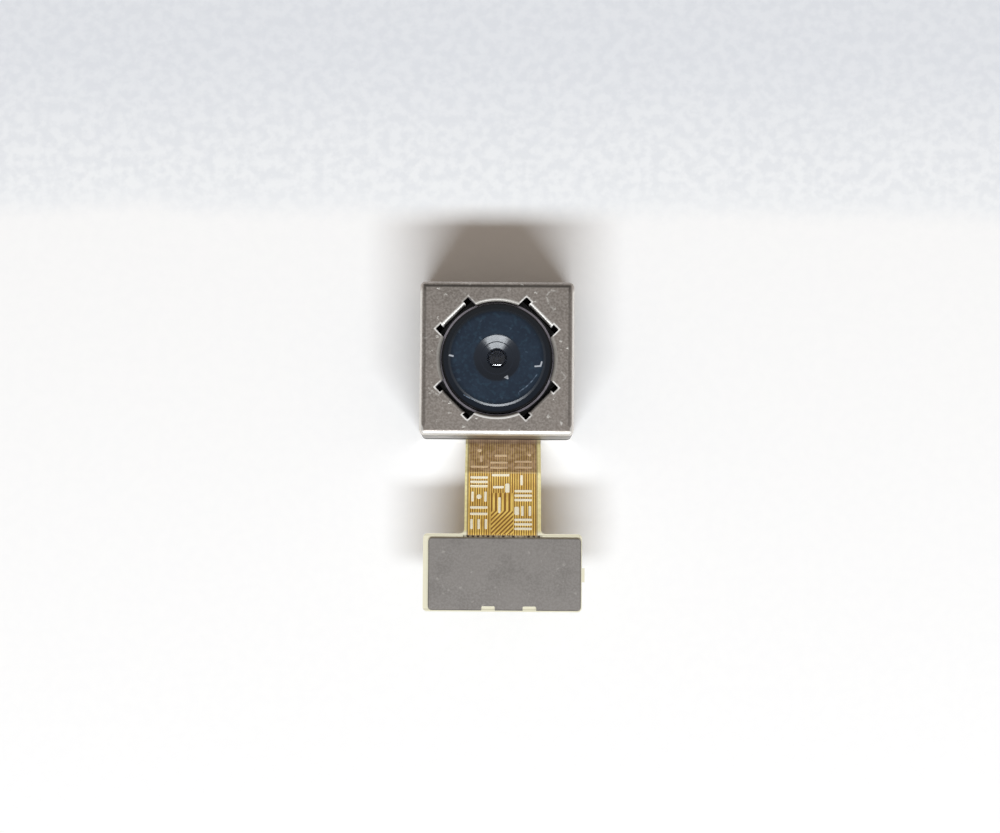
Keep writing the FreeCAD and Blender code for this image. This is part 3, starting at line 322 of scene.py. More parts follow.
def make_grain_group():
    """Fine grain, cloudy mottling and scattered bright specks."""
    group, given, result = new_group(
        "Grain and specks",
        [
            ("Place", "vector"),
            ("Colour", "colour"),
            ("Dark Colour", "colour"),
            ("Speck Colour", "colour"),
            ("Grain Scale", "number"),
            ("Grain Amount", "number"),
            ("Cloud Amount", "number"),
            ("Speck Amount", "number"),
        ],
        [("Colour", "colour"), ("Height", "number"), ("Cloud", "number")],
    )
    fine = noise(group, given["Place"], given["Grain Scale"], 3.0)
    cloud = noise(group, given["Place"], multiply(group, given["Grain Scale"], 0.08), 4.0)
    fine_mask = multiply(group, fade(group, fine, 0.38, 0.62), given["Grain Amount"])
    cloud_mask = multiply(group, fade(group, cloud, 0.35, 0.68), given["Cloud Amount"])
    colour = mix(group, fine_mask, given["Colour"], given["Dark Colour"])
    colour = mix(group, cloud_mask, colour, given["Dark Colour"])
    wander = group.nodes.new("ShaderNodeTexNoise")
    group.links.new(given["Place"], wander.inputs["Vector"])
    group.links.new(given["Grain Scale"], wander.inputs["Scale"])
    aside = calculate_vector(group, "SUBTRACT", wander.outputs["Color"], (0.5, 0.5, 0.5))
    reach = calculate(group, "DIVIDE", 2.4, given["Grain Scale"])
    strayed = calculate_vector(group, "ADD", given["Place"], scale_vector(group, aside, reach))
    cells = group.nodes.new("ShaderNodeTexVoronoi")
    group.links.new(strayed, cells.inputs["Vector"])
    group.links.new(multiply(group, given["Grain Scale"], 0.35), cells.inputs["Scale"])
    chosen = fade(group, split(group, cells.outputs["Color"])[0], 0.72, 0.8)
    near_middle = fade(group, cells.outputs["Distance"], 0.3, 0.12)
    specks = multiply(group, chosen, near_middle, given["Speck Amount"])
    feed(group, result["Colour"], mix(group, specks, colour, given["Speck Colour"]))
    feed(group, result["Height"], calculate(group, "ADD", fine, specks))
    feed(group, result["Cloud"], cloud)
    return group


def make_stroke_group():
    """A short straight mark between two places, seen along Z."""
    group, given, result = new_group(
        "Stroke",
        [("Place", "vector"), ("Start", "vector"), ("End", "vector"), ("Width", "number")],
        [("Mask", "number")],
    )
    flat = calculate_vector(group, "MULTIPLY", given["Place"], (1.0, 1.0, 0.0))
    from_start = calculate_vector(group, "SUBTRACT", flat, given["Start"])
    along = calculate_vector(group, "SUBTRACT", given["End"], given["Start"])
    reach = calculate_vector(group, "DOT_PRODUCT", from_start, along, "Value")
    whole = calculate_vector(group, "DOT_PRODUCT", along, along, "Value")
    share = calculate(group, "DIVIDE", reach, whole)
    share = calculate(group, "MINIMUM", calculate(group, "MAXIMUM", share, 0.0), 1.0)
    nearest = scale_vector(group, along, share)
    apart = calculate_vector(group, "SUBTRACT", from_start, nearest)
    distance = calculate_vector(group, "LENGTH", apart, output="Value")
    inner = multiply(group, given["Width"], 0.25)
    outer = multiply(group, given["Width"], 0.75)
    feed(group, result["Mask"], fade(group, distance, outer, inner))
    return group


def make_zone_group():
    """A soft-edged rectangle, seen along Z."""
    group, given, result = new_group(
        "Zone",
        [("Place", "vector"), ("Middle", "vector"), ("Half Size", "vector"), ("Edge", "number")],
        [("Mask", "number")],
    )
    apart = calculate_vector(group, "SUBTRACT", given["Place"], given["Middle"])
    apart = calculate_vector(group, "ABSOLUTE", apart)
    beyond_x, beyond_y, _ = split(group, calculate_vector(group, "SUBTRACT", apart, given["Half Size"]))
    outside = calculate(group, "MAXIMUM", beyond_x, beyond_y)
    half_edge = multiply(group, given["Edge"], 0.5)
    feed(group, result["Mask"], fade(group, outside, half_edge, multiply(group, given["Edge"], -0.5)))
    return group


def make_trace_group():
    """Parallel copper tracks along Y that slant sideways between two places."""
    group, given, result = new_group(
        "Copper tracks",
        [
            ("Place", "vector"),
            ("Pitch", "number"),
            ("Slant Start", "number"),
            ("Slant Length", "number"),
            ("Slant", "number"),
        ],
        [("Mask", "number")],
    )
    across, along, _ = split(group, given["Place"])
    past = calculate(group, "SUBTRACT", given["Slant Start"], along)
    past = calculate(group, "MINIMUM", calculate(group, "MAXIMUM", past, 0.0), given["Slant Length"])
    across = calculate(group, "ADD", across, multiply(group, past, given["Slant"]))
    step = calculate(group, "PINGPONG", across, given["Pitch"])
    share = calculate(group, "DIVIDE", step, given["Pitch"])
    feed(group, result["Mask"], fade(group, share, 0.35, 0.62))
    return group


GRAIN = make_grain_group()
STROKE = make_stroke_group()
ZONE = make_zone_group()
TRACES = make_trace_group()


def use(tree, group, **values):
    """Places a group with its values. Sockets are named with capitals and spaces."""
    node = tree.nodes.new("ShaderNodeGroup")
    node.node_tree = group
    for name, source in values.items():
        feed(tree, node.inputs[name.replace("_", " ").title()], source)
    return node.outputs


def add_grain(tree, place, colours, scale, amounts):
    """The grain group with its three colours (base, dark, speck) and amounts (grain, cloud, speck)."""
    return use(
        tree, GRAIN, place=place, colour=colours[0], dark_colour=colours[1], speck_colour=colours[2],
        grain_scale=scale, grain_amount=amounts[0], cloud_amount=amounts[1], speck_amount=amounts[2],
    )


def zone(tree, place, middle, half_size, edge=0.06):
    """The mask of a soft-edged rectangle."""
    return use(tree, ZONE, place=place, middle=middle, half_size=half_size, edge=edge)["Mask"]


def outline(tree, place, middle, half_size, inset, width):
    """A thin frame inside a rectangle, seen along Z."""
    outer = tuple(half - inset for half in half_size)
    inner = tuple(half - inset - width for half in half_size)
    whole = zone(tree, place, middle, outer, 0.03)
    return calculate(tree, "SUBTRACT", whole, zone(tree, place, middle, inner, 0.03))


def tracks(tree, place, pitch, start=0.0, length=0.0, slant=0.0):
    """The mask of parallel tracks."""
    return use(
        tree, TRACES, place=place, pitch=pitch, slant_start=start, slant_length=length, slant=slant
    )["Mask"]


def draw_marks(tree, place, marks):
    """Bent scratches, each through a few places that are pairs in millimetres."""
    masks = []
    for width, points in marks:
        for start, end in zip(points, points[1:]):
            stroke = use(tree, STROKE, place=place, start=(*start, 0.0), end=(*end, 0.0), width=width)
            masks.append(stroke["Mask"])
    return strongest(tree, *masks)


def measure_from_axis(tree, place):
    """How far a place lies from the lens axis, in millimetres."""
    flat = calculate_vector(tree, "MULTIPLY", place, (1.0, 1.0, 0.0))
    return calculate_vector(tree, "LENGTH", flat, output="Value")


def turn_to_leg(tree, place):
    """A place as seen along any of the four folded legs: how far out, and how far to its side."""
    along_x, along_y, _ = split(tree, calculate_vector(tree, "ABSOLUTE", place))
    half_root = math.sqrt(0.5)
    out = multiply(tree, calculate(tree, "ADD", along_x, along_y), half_root)
    apart = multiply(tree, calculate(tree, "SUBTRACT", along_x, along_y), half_root)
    node = tree.nodes.new("ShaderNodeCombineXYZ")
    feed(tree, node.inputs["X"], out)
    feed(tree, node.inputs["Y"], calculate(tree, "ABSOLUTE", apart))
    return node.outputs["Vector"]


# Finishes


def new_finish(name, roughness, metallic=0.0, specular=0.5):
    """A material with its shader, and the piece's own coordinates in millimetres."""
    material = bpy.data.materials.new(name)
    material.use_nodes = True
    tree = material.node_tree
    shader = tree.nodes["Principled BSDF"]
    shader.inputs["Roughness"].default_value = roughness
    shader.inputs["Metallic"].default_value = metallic
    shader.inputs["Specular IOR Level"].default_value = specular
    coordinates = tree.nodes.new("ShaderNodeTexCoord")
    place = scale_vector(tree, coordinates.outputs["Object"], 1 / MM)
    return material, tree, shader, place


def add_bump(tree, shader, height, depth, strength=0.5):
    """Raises the surface by a height, with depth in millimetres."""
    bump = tree.nodes.new("ShaderNodeBump")
    bump.inputs["Strength"].default_value = strength
    bump.inputs["Distance"].default_value = depth * MM
    tree.links.new(height, bump.inputs["Height"])
    tree.links.new(bump.outputs["Normal"], shader.inputs["Normal"])


def drift(tree, cloud, smooth, rough):
    """A roughness that follows a cloud from smooth to rough."""
    return fade(tree, cloud, 0.3, 0.7, smooth, rough)


def grained(name, colours, scale, amounts, roughness, metallic=0.0, specular=0.5, depth=0.01):
    """A plain finish with grain, used for most of the pieces."""
    material, tree, shader, place = new_finish(name, roughness, metallic, specular)
    surface = add_grain(tree, place, colours, scale, amounts)
    tree.links.new(surface["Colour"], shader.inputs["Base Color"])
    varied = drift(tree, surface["Cloud"], roughness * 0.85, roughness * 1.15)
    tree.links.new(varied, shader.inputs["Roughness"])
    add_bump(tree, shader, surface["Height"], depth)
    return material


def make_can_finish():
    """Dull plated sheet with a fine grain and faint scratches. Its bends and leg folds carry painted
    highlights, partly edge wear, its walls and a line along its bends carry painted shade, its lip's front
    edge a painted highlight, and its punched notches are painted near-white.
    """
    material, tree, shader, place = new_finish("plated_can_sheet", 0.42, 1.0)
    colours = paint(184, 175, 167), paint(142, 132, 124), paint(236, 232, 224)
    surface = add_grain(tree, place, colours, 8.0, (0.65, 0.45, 0.7))
    _, forward, height = split(tree, place)
    across, along, _ = split(tree, calculate_vector(tree, "ABSOLUTE", place))
    outermost = calculate(tree, "MAXIMUM", across, along)
    from_axis = measure_from_axis(tree, place)
    by_leg = turn_to_leg(tree, place)

    broken = fade(tree, noise(tree, place, 9.0, 2.0), 0.4, 0.55, 0.1, 0.45)
    scratches = multiply(tree, draw_marks(tree, place, CAN_SCRATCHES), broken)
    colour = mix(tree, scratches, surface["Colour"], paint(242, 238, 230))

    # Painted highlight, partly edge wear: the outer bends are painted light, widest along the front bend
    # and faint along the rear one, and so are the leg folds, most on the rear legs.
    highlight_narrowing = fade(tree, forward, *FRONT_BEND, 0.0, 0.1)
    rolled = fade(tree, calculate(tree, "SUBTRACT", outermost, highlight_narrowing), CAN_EDGE + 0.03, CAN_EDGE + 0.1)
    rolled = multiply(tree, rolled, fade(tree, forward, *REAR_BEND, 1.0, 0.2))
    folded = zone(tree, by_leg, LEG_MIDDLE, LEG_HALF_SIZE)
    folded = multiply(tree, folded, fade(tree, forward, -0.5, 0.5, 0.2, 1.0))
    wear_and_painted_highlight = multiply(tree, strongest(tree, rolled, folded), 0.85)
    colour = mix(tree, wear_and_painted_highlight, colour, paint(240, 236, 230))

    # Painted shade: the walls below the top are painted darker than the top.
    wall_shade = fade(tree, height, CAN_TOP - 0.24, CAN_TOP - 0.34, 0.0, 0.85)
    colour = mix(tree, wall_shade, colour, paint(122, 117, 112))
    # Painted shade: a dark line along the bends, absent along the front bend and strongest along the rear
    # one.
    shade_line_start = (CAN_EDGE - 0.08, CAN_EDGE - 0.02)
    shade_line_end = (CAN_EDGE + 0.05, CAN_EDGE + 0.12)
    painted_bend_shade = multiply(
        tree, between(tree, outermost, shade_line_start, shade_line_end), fade(tree, forward, *FRONT_BEND),
        fade(tree, forward, *REAR_BEND_SHADE, 0.5, 0.85),
    )
    colour = mix(tree, painted_bend_shade, colour, paint(98, 92, 86))

    patchy = fade(tree, noise(tree, place, 1.6, 2.0), 0.38, 0.56, 0.3, 1.0)
    punched = multiply(tree, zone(tree, by_leg, NOTCH_MIDDLE, NOTCH_HALF_SIZE), patchy)
    curled = fade(tree, from_axis, LIP_EDGE + 0.04, LIP_EDGE - 0.02)
    colour = mix(tree, multiply(tree, curled, 0.9), colour, paint(158, 154, 148))
    # Painted highlight: a white line along the lip's front edge only. The punched notches are painted
    # near-white in patches.
    lip_burr_highlight = between(tree, from_axis, (LIP_EDGE - 0.1, LIP_EDGE - 0.05), (LIP_EDGE, LIP_EDGE + 0.05))
    lip_burr_highlight = multiply(tree, lip_burr_highlight, fade(tree, forward, *LIP_FRONT))
    bare_notches_and_lip_highlight = strongest(tree, punched, lip_burr_highlight)
    colour = mix(tree, multiply(tree, bare_notches_and_lip_highlight, 0.95), colour, paint(252, 250, 246))

    tree.links.new(colour, shader.inputs["Base Color"])
    cut = strongest(tree, bare_notches_and_lip_highlight, curled)
    tree.links.new(fade(tree, cut, 0.0, 1.0, 1.0, 0.35), shader.inputs["Metallic"])
    tree.links.new(drift(tree, surface["Cloud"], 0.4, 0.52), shader.inputs["Roughness"])
    add_bump(tree, shader, surface["Height"], 0.012, 0.6)
    return material


def make_plate_finish():
    """Dull stainless sheet, finer and more even than the can, with a dark cut edge."""
    material, tree, shader, place = new_finish("dull_stainless_sheet", 0.5, 1.0)
    colours = paint(162, 156, 151), paint(143, 137, 132), paint(192, 186, 179)
    surface = add_grain(tree, place, colours, 9.0, (0.6, 0.5, 0.5))
    inside = zone(tree, place, PLATE_MIDDLE, PLATE_HALF_SIZE)
    colour = mix(tree, inside, paint(112, 106, 101), surface["Colour"])
    tree.links.new(colour, shader.inputs["Base Color"])
    tree.links.new(drift(tree, surface["Cloud"], 0.44, 0.56), shader.inputs["Roughness"])
    add_bump(tree, shader, surface["Height"], 0.005)
    return material


def make_barrel_finish():
    """Satin blue-black moulding with a dusty face and a few scuffs, polished recess cones, painted shade
    on the chamfer, rim and recess, and a few painted glints.
    """
    material, tree, shader, place = new_finish("satin_barrel_moulding", 0.36, 0.0, 0.2)
    colours = paint(42, 55, 70), paint(30, 40, 54), paint(84, 104, 122)
    surface = add_grain(tree, place, colours, 7.0, (0.4, 0.8, 0.4))
    from_axis = measure_from_axis(tree, place)
    beyond_face = fade(tree, from_axis, FACE_EDGE - 0.3, FACE_EDGE + 0.2)
    in_recess = fade(tree, from_axis, RECESS_EDGE + 0.12, RECESS_EDGE - 0.06)
    # Painted shade: the chamfer beyond the face is painted darker, its outer rim near-black where it meets
    # the can, and the recess cones darker than the face.
    colour = mix(tree, beyond_face, surface["Colour"], paint(18, 24, 33))
    colour = mix(tree, fade(tree, from_axis, *BARREL_RIM_SHADE), colour, paint(7, 7, 10))
    colour = mix(tree, in_recess, colour, paint(27, 33, 43))

    teal = fade(tree, noise(tree, place, 4.5, 4.0), 0.5, 0.66, 0.0, 0.3)
    on_face = multiply(tree, teal, invert(tree, beyond_face), invert(tree, in_recess))
    colour = mix(tree, on_face, colour, paint(52, 76, 92))
    broken = fade(tree, noise(tree, place, 8.0, 2.0), 0.4, 0.6, 0.2, 0.75)
    faint = multiply(tree, draw_marks(tree, place, BARREL_SCUFFS), broken)
    colour = mix(tree, faint, colour, paint(120, 138, 158))
    # Painted highlight: small pale glints on the face.
    painted_glints = multiply(tree, draw_marks(tree, place, BARREL_GLINTS), 0.85)
    colour = mix(tree, painted_glints, colour, paint(196, 202, 210))
    tree.links.new(colour, shader.inputs["Base Color"])

    band_end = FACE_EDGE + EDGE_WIDTH
    on_edge = between(
        tree, from_axis, (FACE_EDGE - 0.02, FACE_EDGE + 0.02), (band_end - 0.02, band_end + 0.02)
    )
    polished = multiply(tree, strongest(tree, in_recess, beyond_face), 0.14)
    rough = calculate(tree, "SUBTRACT", drift(tree, surface["Cloud"], 0.32, 0.44), polished)
    tree.links.new(rough, shader.inputs["Roughness"])
    coat = strongest(tree, multiply(tree, in_recess, 0.5), on_edge)
    tree.links.new(coat, shader.inputs["Coat Weight"])
    shader.inputs["Coat Roughness"].default_value = 0.25
    add_bump(tree, shader, surface["Height"], 0.005, 0.35)
    return material


def make_flex_finish():
    """Amber film over copper tracks, with clear margins, a mottled painted shade and reflection on the
    copper from the head to the crease, painted shade at the root and a painted highlight along the crease.
    """
    material, tree, shader, place = new_finish("amber_film_over_copper", 0.36, 0.0, 0.4)
    colours = paint(254, 244, 184), paint(226, 210, 140), paint(255, 252, 214)
    film = add_grain(tree, place, colours, 6.0, (0.45, 0.4, 0.25))
    _, along, _ = split(tree, place)
    on_board = multiply(tree, fade(tree, along, BOARD_EDGE + 0.25, BOARD_EDGE - 0.05), 0.85)
    colour = mix(tree, on_board, film["Colour"], paint(236, 233, 214))
    rim = multiply(tree, outline(tree, place, BOARD_MIDDLE, BOARD_HALF_SIZE, 0.09, 0.06), 0.5)
    colour = mix(tree, rim, colour, paint(176, 170, 140))
    border = multiply(tree, outline(tree, place, COPPER_MIDDLE, COPPER_HALF_SIZE, -0.07, 0.07), 0.75)
    colour = mix(tree, border, colour, paint(128, 100, 66))

    copper = zone(tree, place, COPPER_MIDDLE, COPPER_HALF_SIZE)
    fan = zone(tree, place, FAN_MIDDLE, FAN_HALF_SIZE, 0.04)
    straight = tracks(tree, place, TRACK_PITCH)
    slanted = tracks(tree, place, FAN_PITCH, FAN_START, FAN_LENGTH, 1.0)
    raised = mix(tree, fan, straight, slanted)
    tint = fade(tree, noise(tree, place, 1.3, 3.0), 0.4, 0.6)
    ridge = mix(tree, tint, paint(248, 212, 112), paint(230, 190, 96))
    metal = mix(tree, raised, paint(140, 98, 40), ridge)
    # Painted shade and reflection: from the crease to the head the copper is painted a mottled
    # purple-brown.
    steep = multiply(tree, fade(tree, along, CREASE_TOP_Y - 0.02, CREASE_TOP_Y + 0.12), 0.6)
    mottle = fade(tree, noise(tree, place, 3.4, 3.0), 0.36, 0.66)
    painted_shade_tone = mix(tree, mottle, paint(122, 96, 82), paint(186, 158, 136))
    metal = mix(tree, steep, metal, painted_shade_tone)
    colour = mix(tree, copper, colour, metal)

    # Painted shade: the neck is painted darker where it leaves the head, under the can.
    painted_root_shade = fade(tree, along, NECK_TOP - 0.34, NECK_TOP - 0.14, 0.0, 0.7)
    colour = mix(tree, painted_root_shade, colour, paint(104, 82, 70))
    # Painted highlight: a light line along the crease.
    painted_fold_highlight = zone(tree, place, FOLD_MIDDLE, FOLD_HALF_SIZE, 0.05)
    colour = mix(tree, multiply(tree, painted_fold_highlight, 0.55), colour, paint(236, 212, 164))
    pads = tracks(tree, calculate_vector(tree, "MULTIPLY", place, (1.0, 0.0, 0.0)), PAD_PITCH)
    pads = fade(tree, pads, 0.2, 0.7, 0.4, 1.0)
    worn = fade(tree, noise(tree, place, 4.0, 2.0), 0.36, 0.5, 0.35, 1.0)
    dotted = multiply(tree, zone(tree, place, PAD_ROW_MIDDLE, PAD_ROW_HALF_SIZE), pads, worn)
    colour = mix(tree, dotted, colour, paint(52, 34, 20))

    tree.links.new(colour, shader.inputs["Base Color"])
    tree.links.new(drift(tree, film["Cloud"], 0.28, 0.44), shader.inputs["Roughness"])
    shader.inputs["Coat Weight"].default_value = 0.25
    shader.inputs["Coat Roughness"].default_value = 0.25
    add_bump(tree, shader, multiply(tree, raised, copper), 0.01, 0.4)
    return material


def make_clear_finish(name, colour, roughness, coated_above):
    """Coated optics with a faint tint and a few smears. What lies above a height shines more."""
    material, tree, shader, place = new_finish(name, roughness, 0.0, 0.03)
    shader.inputs["Transmission Weight"].default_value = 1.0
    shader.inputs["IOR"].default_value = GLASS_IOR
    cloud = noise(tree, place, 1.6, 3.0)
    smeared = fade(tree, cloud, 0.4, 0.7, 0.0, 0.2)
    tree.links.new(mix(tree, smeared, colour, WHITE), shader.inputs["Base Color"])
    tree.links.new(drift(tree, cloud, roughness, roughness * 2.5), shader.inputs["Roughness"])
    _, _, height = split(tree, place)
    coat = fade(tree, height, coated_above, coated_above + 0.02, 0.0, 0.06)
    tree.links.new(coat, shader.inputs["Coat Weight"])
    shader.inputs["Coat Roughness"].default_value = 0.08
    return material


def make_ink_finish(name, colour, dark):
    """Thick printing ink, slightly uneven."""
    return grained(name, (colour, dark, paint(255, 252, 240)), 12.0, (0.5, 0.5, 0.3), 0.55, depth=0.004)


# Dark mouldings share their dark grain and speck colours
DEEP = paint(12, 12, 14)
PALE = paint(70, 70, 74)

FINISHES = {
    "can_steel": make_can_finish(),
    "plate_steel": make_plate_finish(),
    "flex_film": make_flex_finish(),
    "black_moulding": grained(
        "matt_black_moulding", (paint(24, 24, 26), DEEP, PALE), 9.0, (0.5, 0.5, 0.3), 0.55
    ),
    "barrel_black": make_barrel_finish(),
    "lens_clear": make_clear_finish("coated_clear_optics", (0.42, 0.46, 0.55, 1.0), 0.02, FRONT_LENS_RIM),
    "filter_glass": make_clear_finish(
        "blue_green_filter_glass", (0.5, 0.75, 0.78, 1.0), 0.02, FRONT_LENS_TOP
    ),
    "sensor_silicon": grained(
        "dark_iridescent_silicon", (paint(58, 48, 74), paint(34, 40, 60), paint(96, 80, 110)),
        10.0, (0.4, 0.8, 0.2), 0.2, specular=0.6, depth=0.002,
    ),
    "spring_bronze": grained(
        "rolled_spring_sheet", (paint(196, 190, 200), paint(160, 152, 160), paint(226, 220, 226)),
        14.0, (0.4, 0.4, 0.2), 0.3, metallic=1.0, depth=0.003,
    ),
    "magnet_nickel": grained(
        "nickel_plated_magnet", (paint(176, 172, 166), paint(140, 136, 130), paint(210, 206, 198)),
        8.0, (0.4, 0.5, 0.3), 0.35, metallic=1.0, depth=0.004,
    ),
    "coil_copper": grained(
        "enamelled_copper_wire", (paint(196, 118, 66), paint(140, 70, 32), paint(230, 160, 104)),
        10.0, (0.6, 0.3, 0.3), 0.3, metallic=1.0,
    ),
    "wire_gold": grained(
        "drawn_gold_wire", (paint(236, 198, 104), paint(204, 160, 70), paint(250, 226, 160)),
        20.0, (0.3, 0.3, 0.2), 0.22, metallic=1.0, depth=0.001,
    ),
    "contact_gold": grained(
        "gold_plated_contact", (paint(226, 188, 104), paint(186, 146, 70), paint(246, 220, 156)),
        16.0, (0.4, 0.4, 0.2), 0.28, metallic=1.0, depth=0.002,
    ),
    "clip_tin": grained(
        "tinned_clip_sheet", (paint(190, 190, 186), paint(156, 156, 152), paint(222, 222, 216)),
        12.0, (0.4, 0.5, 0.3), 0.36, metallic=1.0, depth=0.003,
    ),
    "solder_tin": grained(
        "bright_solder", (paint(204, 204, 200), paint(160, 160, 156), paint(234, 234, 230)),
        9.0, (0.5, 0.6, 0.3), 0.28, metallic=1.0,
    ),
    "chip_black": grained(
        "dark_chip_package", (paint(34, 34, 38), DEEP, PALE), 14.0, (0.5, 0.4, 0.3), 0.5
    ),
    "capacitor_ceramic": grained(
        "tan_capacitor_ceramic", (paint(176, 146, 112), paint(140, 108, 78), paint(206, 182, 150)),
        14.0, (0.5, 0.4, 0.3), 0.45,
    ),
    "connector_moulding": grained(
        "black_connector_moulding", (paint(30, 30, 31), DEEP, PALE), 10.0, (0.5, 0.4, 0.3), 0.45
    ),
}
INK = make_ink_finish("cream_printing_ink", paint(255, 250, 232), paint(242, 230, 192))
FADED_INK = make_ink_finish("faded_printing_ink", paint(240, 214, 172), paint(200, 170, 134))


def dress_frame():
    """Gives every carried-over node the finish of its slot."""
    for part in frame["record"]["subparts"]:
        node = frame["nodes"][part["node"]]
        node.data.materials.clear()
        node.data.materials.append(FINISHES[part["material_slot"]])


# Ink on the neck


class Slope:
    """A flat stretch of the neck. It runs through the crease, turned by an angle about X."""

    def __init__(self, angle):
        self.start = Vector((0.0, CREASE_TOP_Y, CREASE_TOP_Z))
        self.angle = angle
        self.along = Vector((0.0, math.cos(angle), math.sin(angle)))
        self.normal = Vector((0.0, -math.sin(angle), math.cos(angle)))

    def at(self, x, y):
        """The place above x, y on the slope, in metres."""
        point = self.start + self.along * ((y - self.start.y) / self.along.y)
        point.x = x
        return point * MM


GENTLE = Slope(-NECK_REACH_ANGLE)
STEEP = Slope(-NECK_RISE_ANGLE)


def clear_selection():
    """Nothing stays selected from the last operation."""
    bpy.ops.object.select_all(action="DESELECT")


def add_dash(slope, x, y, width, length):
    """A rounded bar of ink lying on a slope: sizes in millimetres, length along the slope."""
    clear_selection()
    bpy.ops.mesh.primitive_cube_add(size=1.0, location=slope.at(x, y), rotation=(slope.angle, 0.0, 0.0))
    dash = bpy.context.object
    dash.scale = (width * MM, length * MM, 2 * INK_THICK * MM)
    bpy.ops.object.transform_apply(location=True, rotation=True, scale=True)
    bpy.ops.object.mode_set(mode="EDIT")
    bpy.ops.mesh.select_all(action="DESELECT")
    bpy.ops.object.mode_set(mode="OBJECT")
    for edge in dash.data.edges:
        first, second = (dash.data.vertices[index].co for index in edge.vertices)
        edge.select = abs((second - first).normalized().dot(slope.normal)) > NEARLY_PARALLEL
    bpy.ops.object.mode_set(mode="EDIT")
    bpy.ops.mesh.select_mode(type="EDGE")
    bpy.ops.mesh.bevel(offset=min(width, length) * DASH_ROUNDING * MM, segments=3)
    bpy.ops.object.mode_set(mode="OBJECT")
    return dash


def add_dot(slope, x, y, radius):
    """A round spot of ink lying on a slope, with softened edges."""
    clear_selection()
    bpy.ops.mesh.primitive_cylinder_add(
        vertices=DOT_SIDES, radius=radius * MM, depth=2 * INK_THICK * MM, location=slope.at(x, y),
        rotation=(slope.angle, 0.0, 0.0),
    )
    dot = bpy.context.object
    bpy.ops.object.transform_apply(location=True, rotation=True, scale=True)
    bpy.ops.object.mode_set(mode="EDIT")
    bpy.ops.mesh.select_mode(type="FACE")
    bpy.ops.mesh.bevel(offset=DOT_ROUNDING * INK_THICK * MM, segments=2)
    bpy.ops.object.mode_set(mode="OBJECT")
    return dot


def spread(count, span):
    """Even steps about a middle, in millimetres."""
    return [(index / (count - 1) - 0.5) * span for index in range(count)]


def add_bars(slope, x, y, count=3, span=0.5):
    """A generic block of bars across the neck, about a place."""
    return [add_dash(slope, x, y + step, BAR_LENGTH, BAR_WIDTH) for step in spread(count, span)]


def add_posts(slope, x, y, count=2, span=0.72):
    """A generic block of bars along the neck, about a place."""
    return [add_dash(slope, x + step, y, BAR_WIDTH, POST_LENGTH) for step in spread(count, span)]


def join(name, pieces, finish, body):
    """Joins marks into one named piece that rides on a body."""
    clear_selection()
    for piece in pieces:
        piece.select_set(True)
    bpy.context.view_layer.objects.active = pieces[0]
    bpy.ops.object.join()
    whole = bpy.context.object
    bpy.ops.object.origin_set(type="ORIGIN_CURSOR")
    whole.name = name
    whole.data.materials.clear()
    whole.data.materials.append(finish)
    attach(whole, body)


def print_ink():
    """Bars, posts and a dot on the gentle stretch of the neck, next to the board."""
    marks = [
        *add_bars(GENTLE, LEFT_COLUMN, -6.73),
        *add_posts(GENTLE, LEFT_COLUMN, -7.56),
        add_dot(GENTLE, LEFT_COLUMN, -7.56, 0.14),
        *add_bars(GENTLE, LEFT_COLUMN, -8.35, count=2, span=0.36),
        *add_posts(GENTLE, LEFT_COLUMN, -9.1, count=3, span=0.8),
        add_dash(GENTLE, MIDDLE_COLUMN, -6.34, BAR_LENGTH, BAR_WIDTH),
        add_dash(GENTLE, MIDDLE_COLUMN + 0.38, -7.07, 0.24, 0.55),
        add_dash(GENTLE, MIDDLE_COLUMN - 0.12, -7.02, 0.6, BAR_WIDTH),
        add_dash(GENTLE, MIDDLE_COLUMN - 0.06, -8.03, BAR_WIDTH, 0.95),
        add_dash(GENTLE, RIGHT_COLUMN - 0.1, -6.62, BAR_WIDTH, 0.62),
        *add_bars(GENTLE, RIGHT_COLUMN, -7.49),
        add_dash(GENTLE, RIGHT_COLUMN - 0.36, -8.35, 0.26, 0.5),
        *add_posts(GENTLE, RIGHT_COLUMN + 0.16, -8.35, span=0.42),
        *add_bars(GENTLE, RIGHT_COLUMN, -9.1),
    ]
    join("neck_ink", marks, INK, "module")


def print_faded_ink():
    """Fainter marks on the steep stretch of the neck, next to the head."""
    marks = [
        add_dot(STEEP, LEFT_COLUMN, -4.9, 0.12),
        add_dash(STEEP, LEFT_COLUMN + 0.1, -5.4, BAR_WIDTH, 0.5),
        add_dash(STEEP, LEFT_COLUMN, -5.86, BAR_LENGTH, BAR_WIDTH),
        add_dash(STEEP, MIDDLE_COLUMN, -5.2, 0.7, 0.16),
        *add_bars(STEEP, MIDDLE_COLUMN - 0.1, -5.76, count=2, span=0.3),
        *add_bars(STEEP, RIGHT_COLUMN, -5.72, count=2, span=0.34),
        add_dot(STEEP, RIGHT_COLUMN + 0.35, -5.15, 0.1),
    ]
    join("neck_ink_faded", marks, FADED_INK, "module")


# Floor, lights and camera


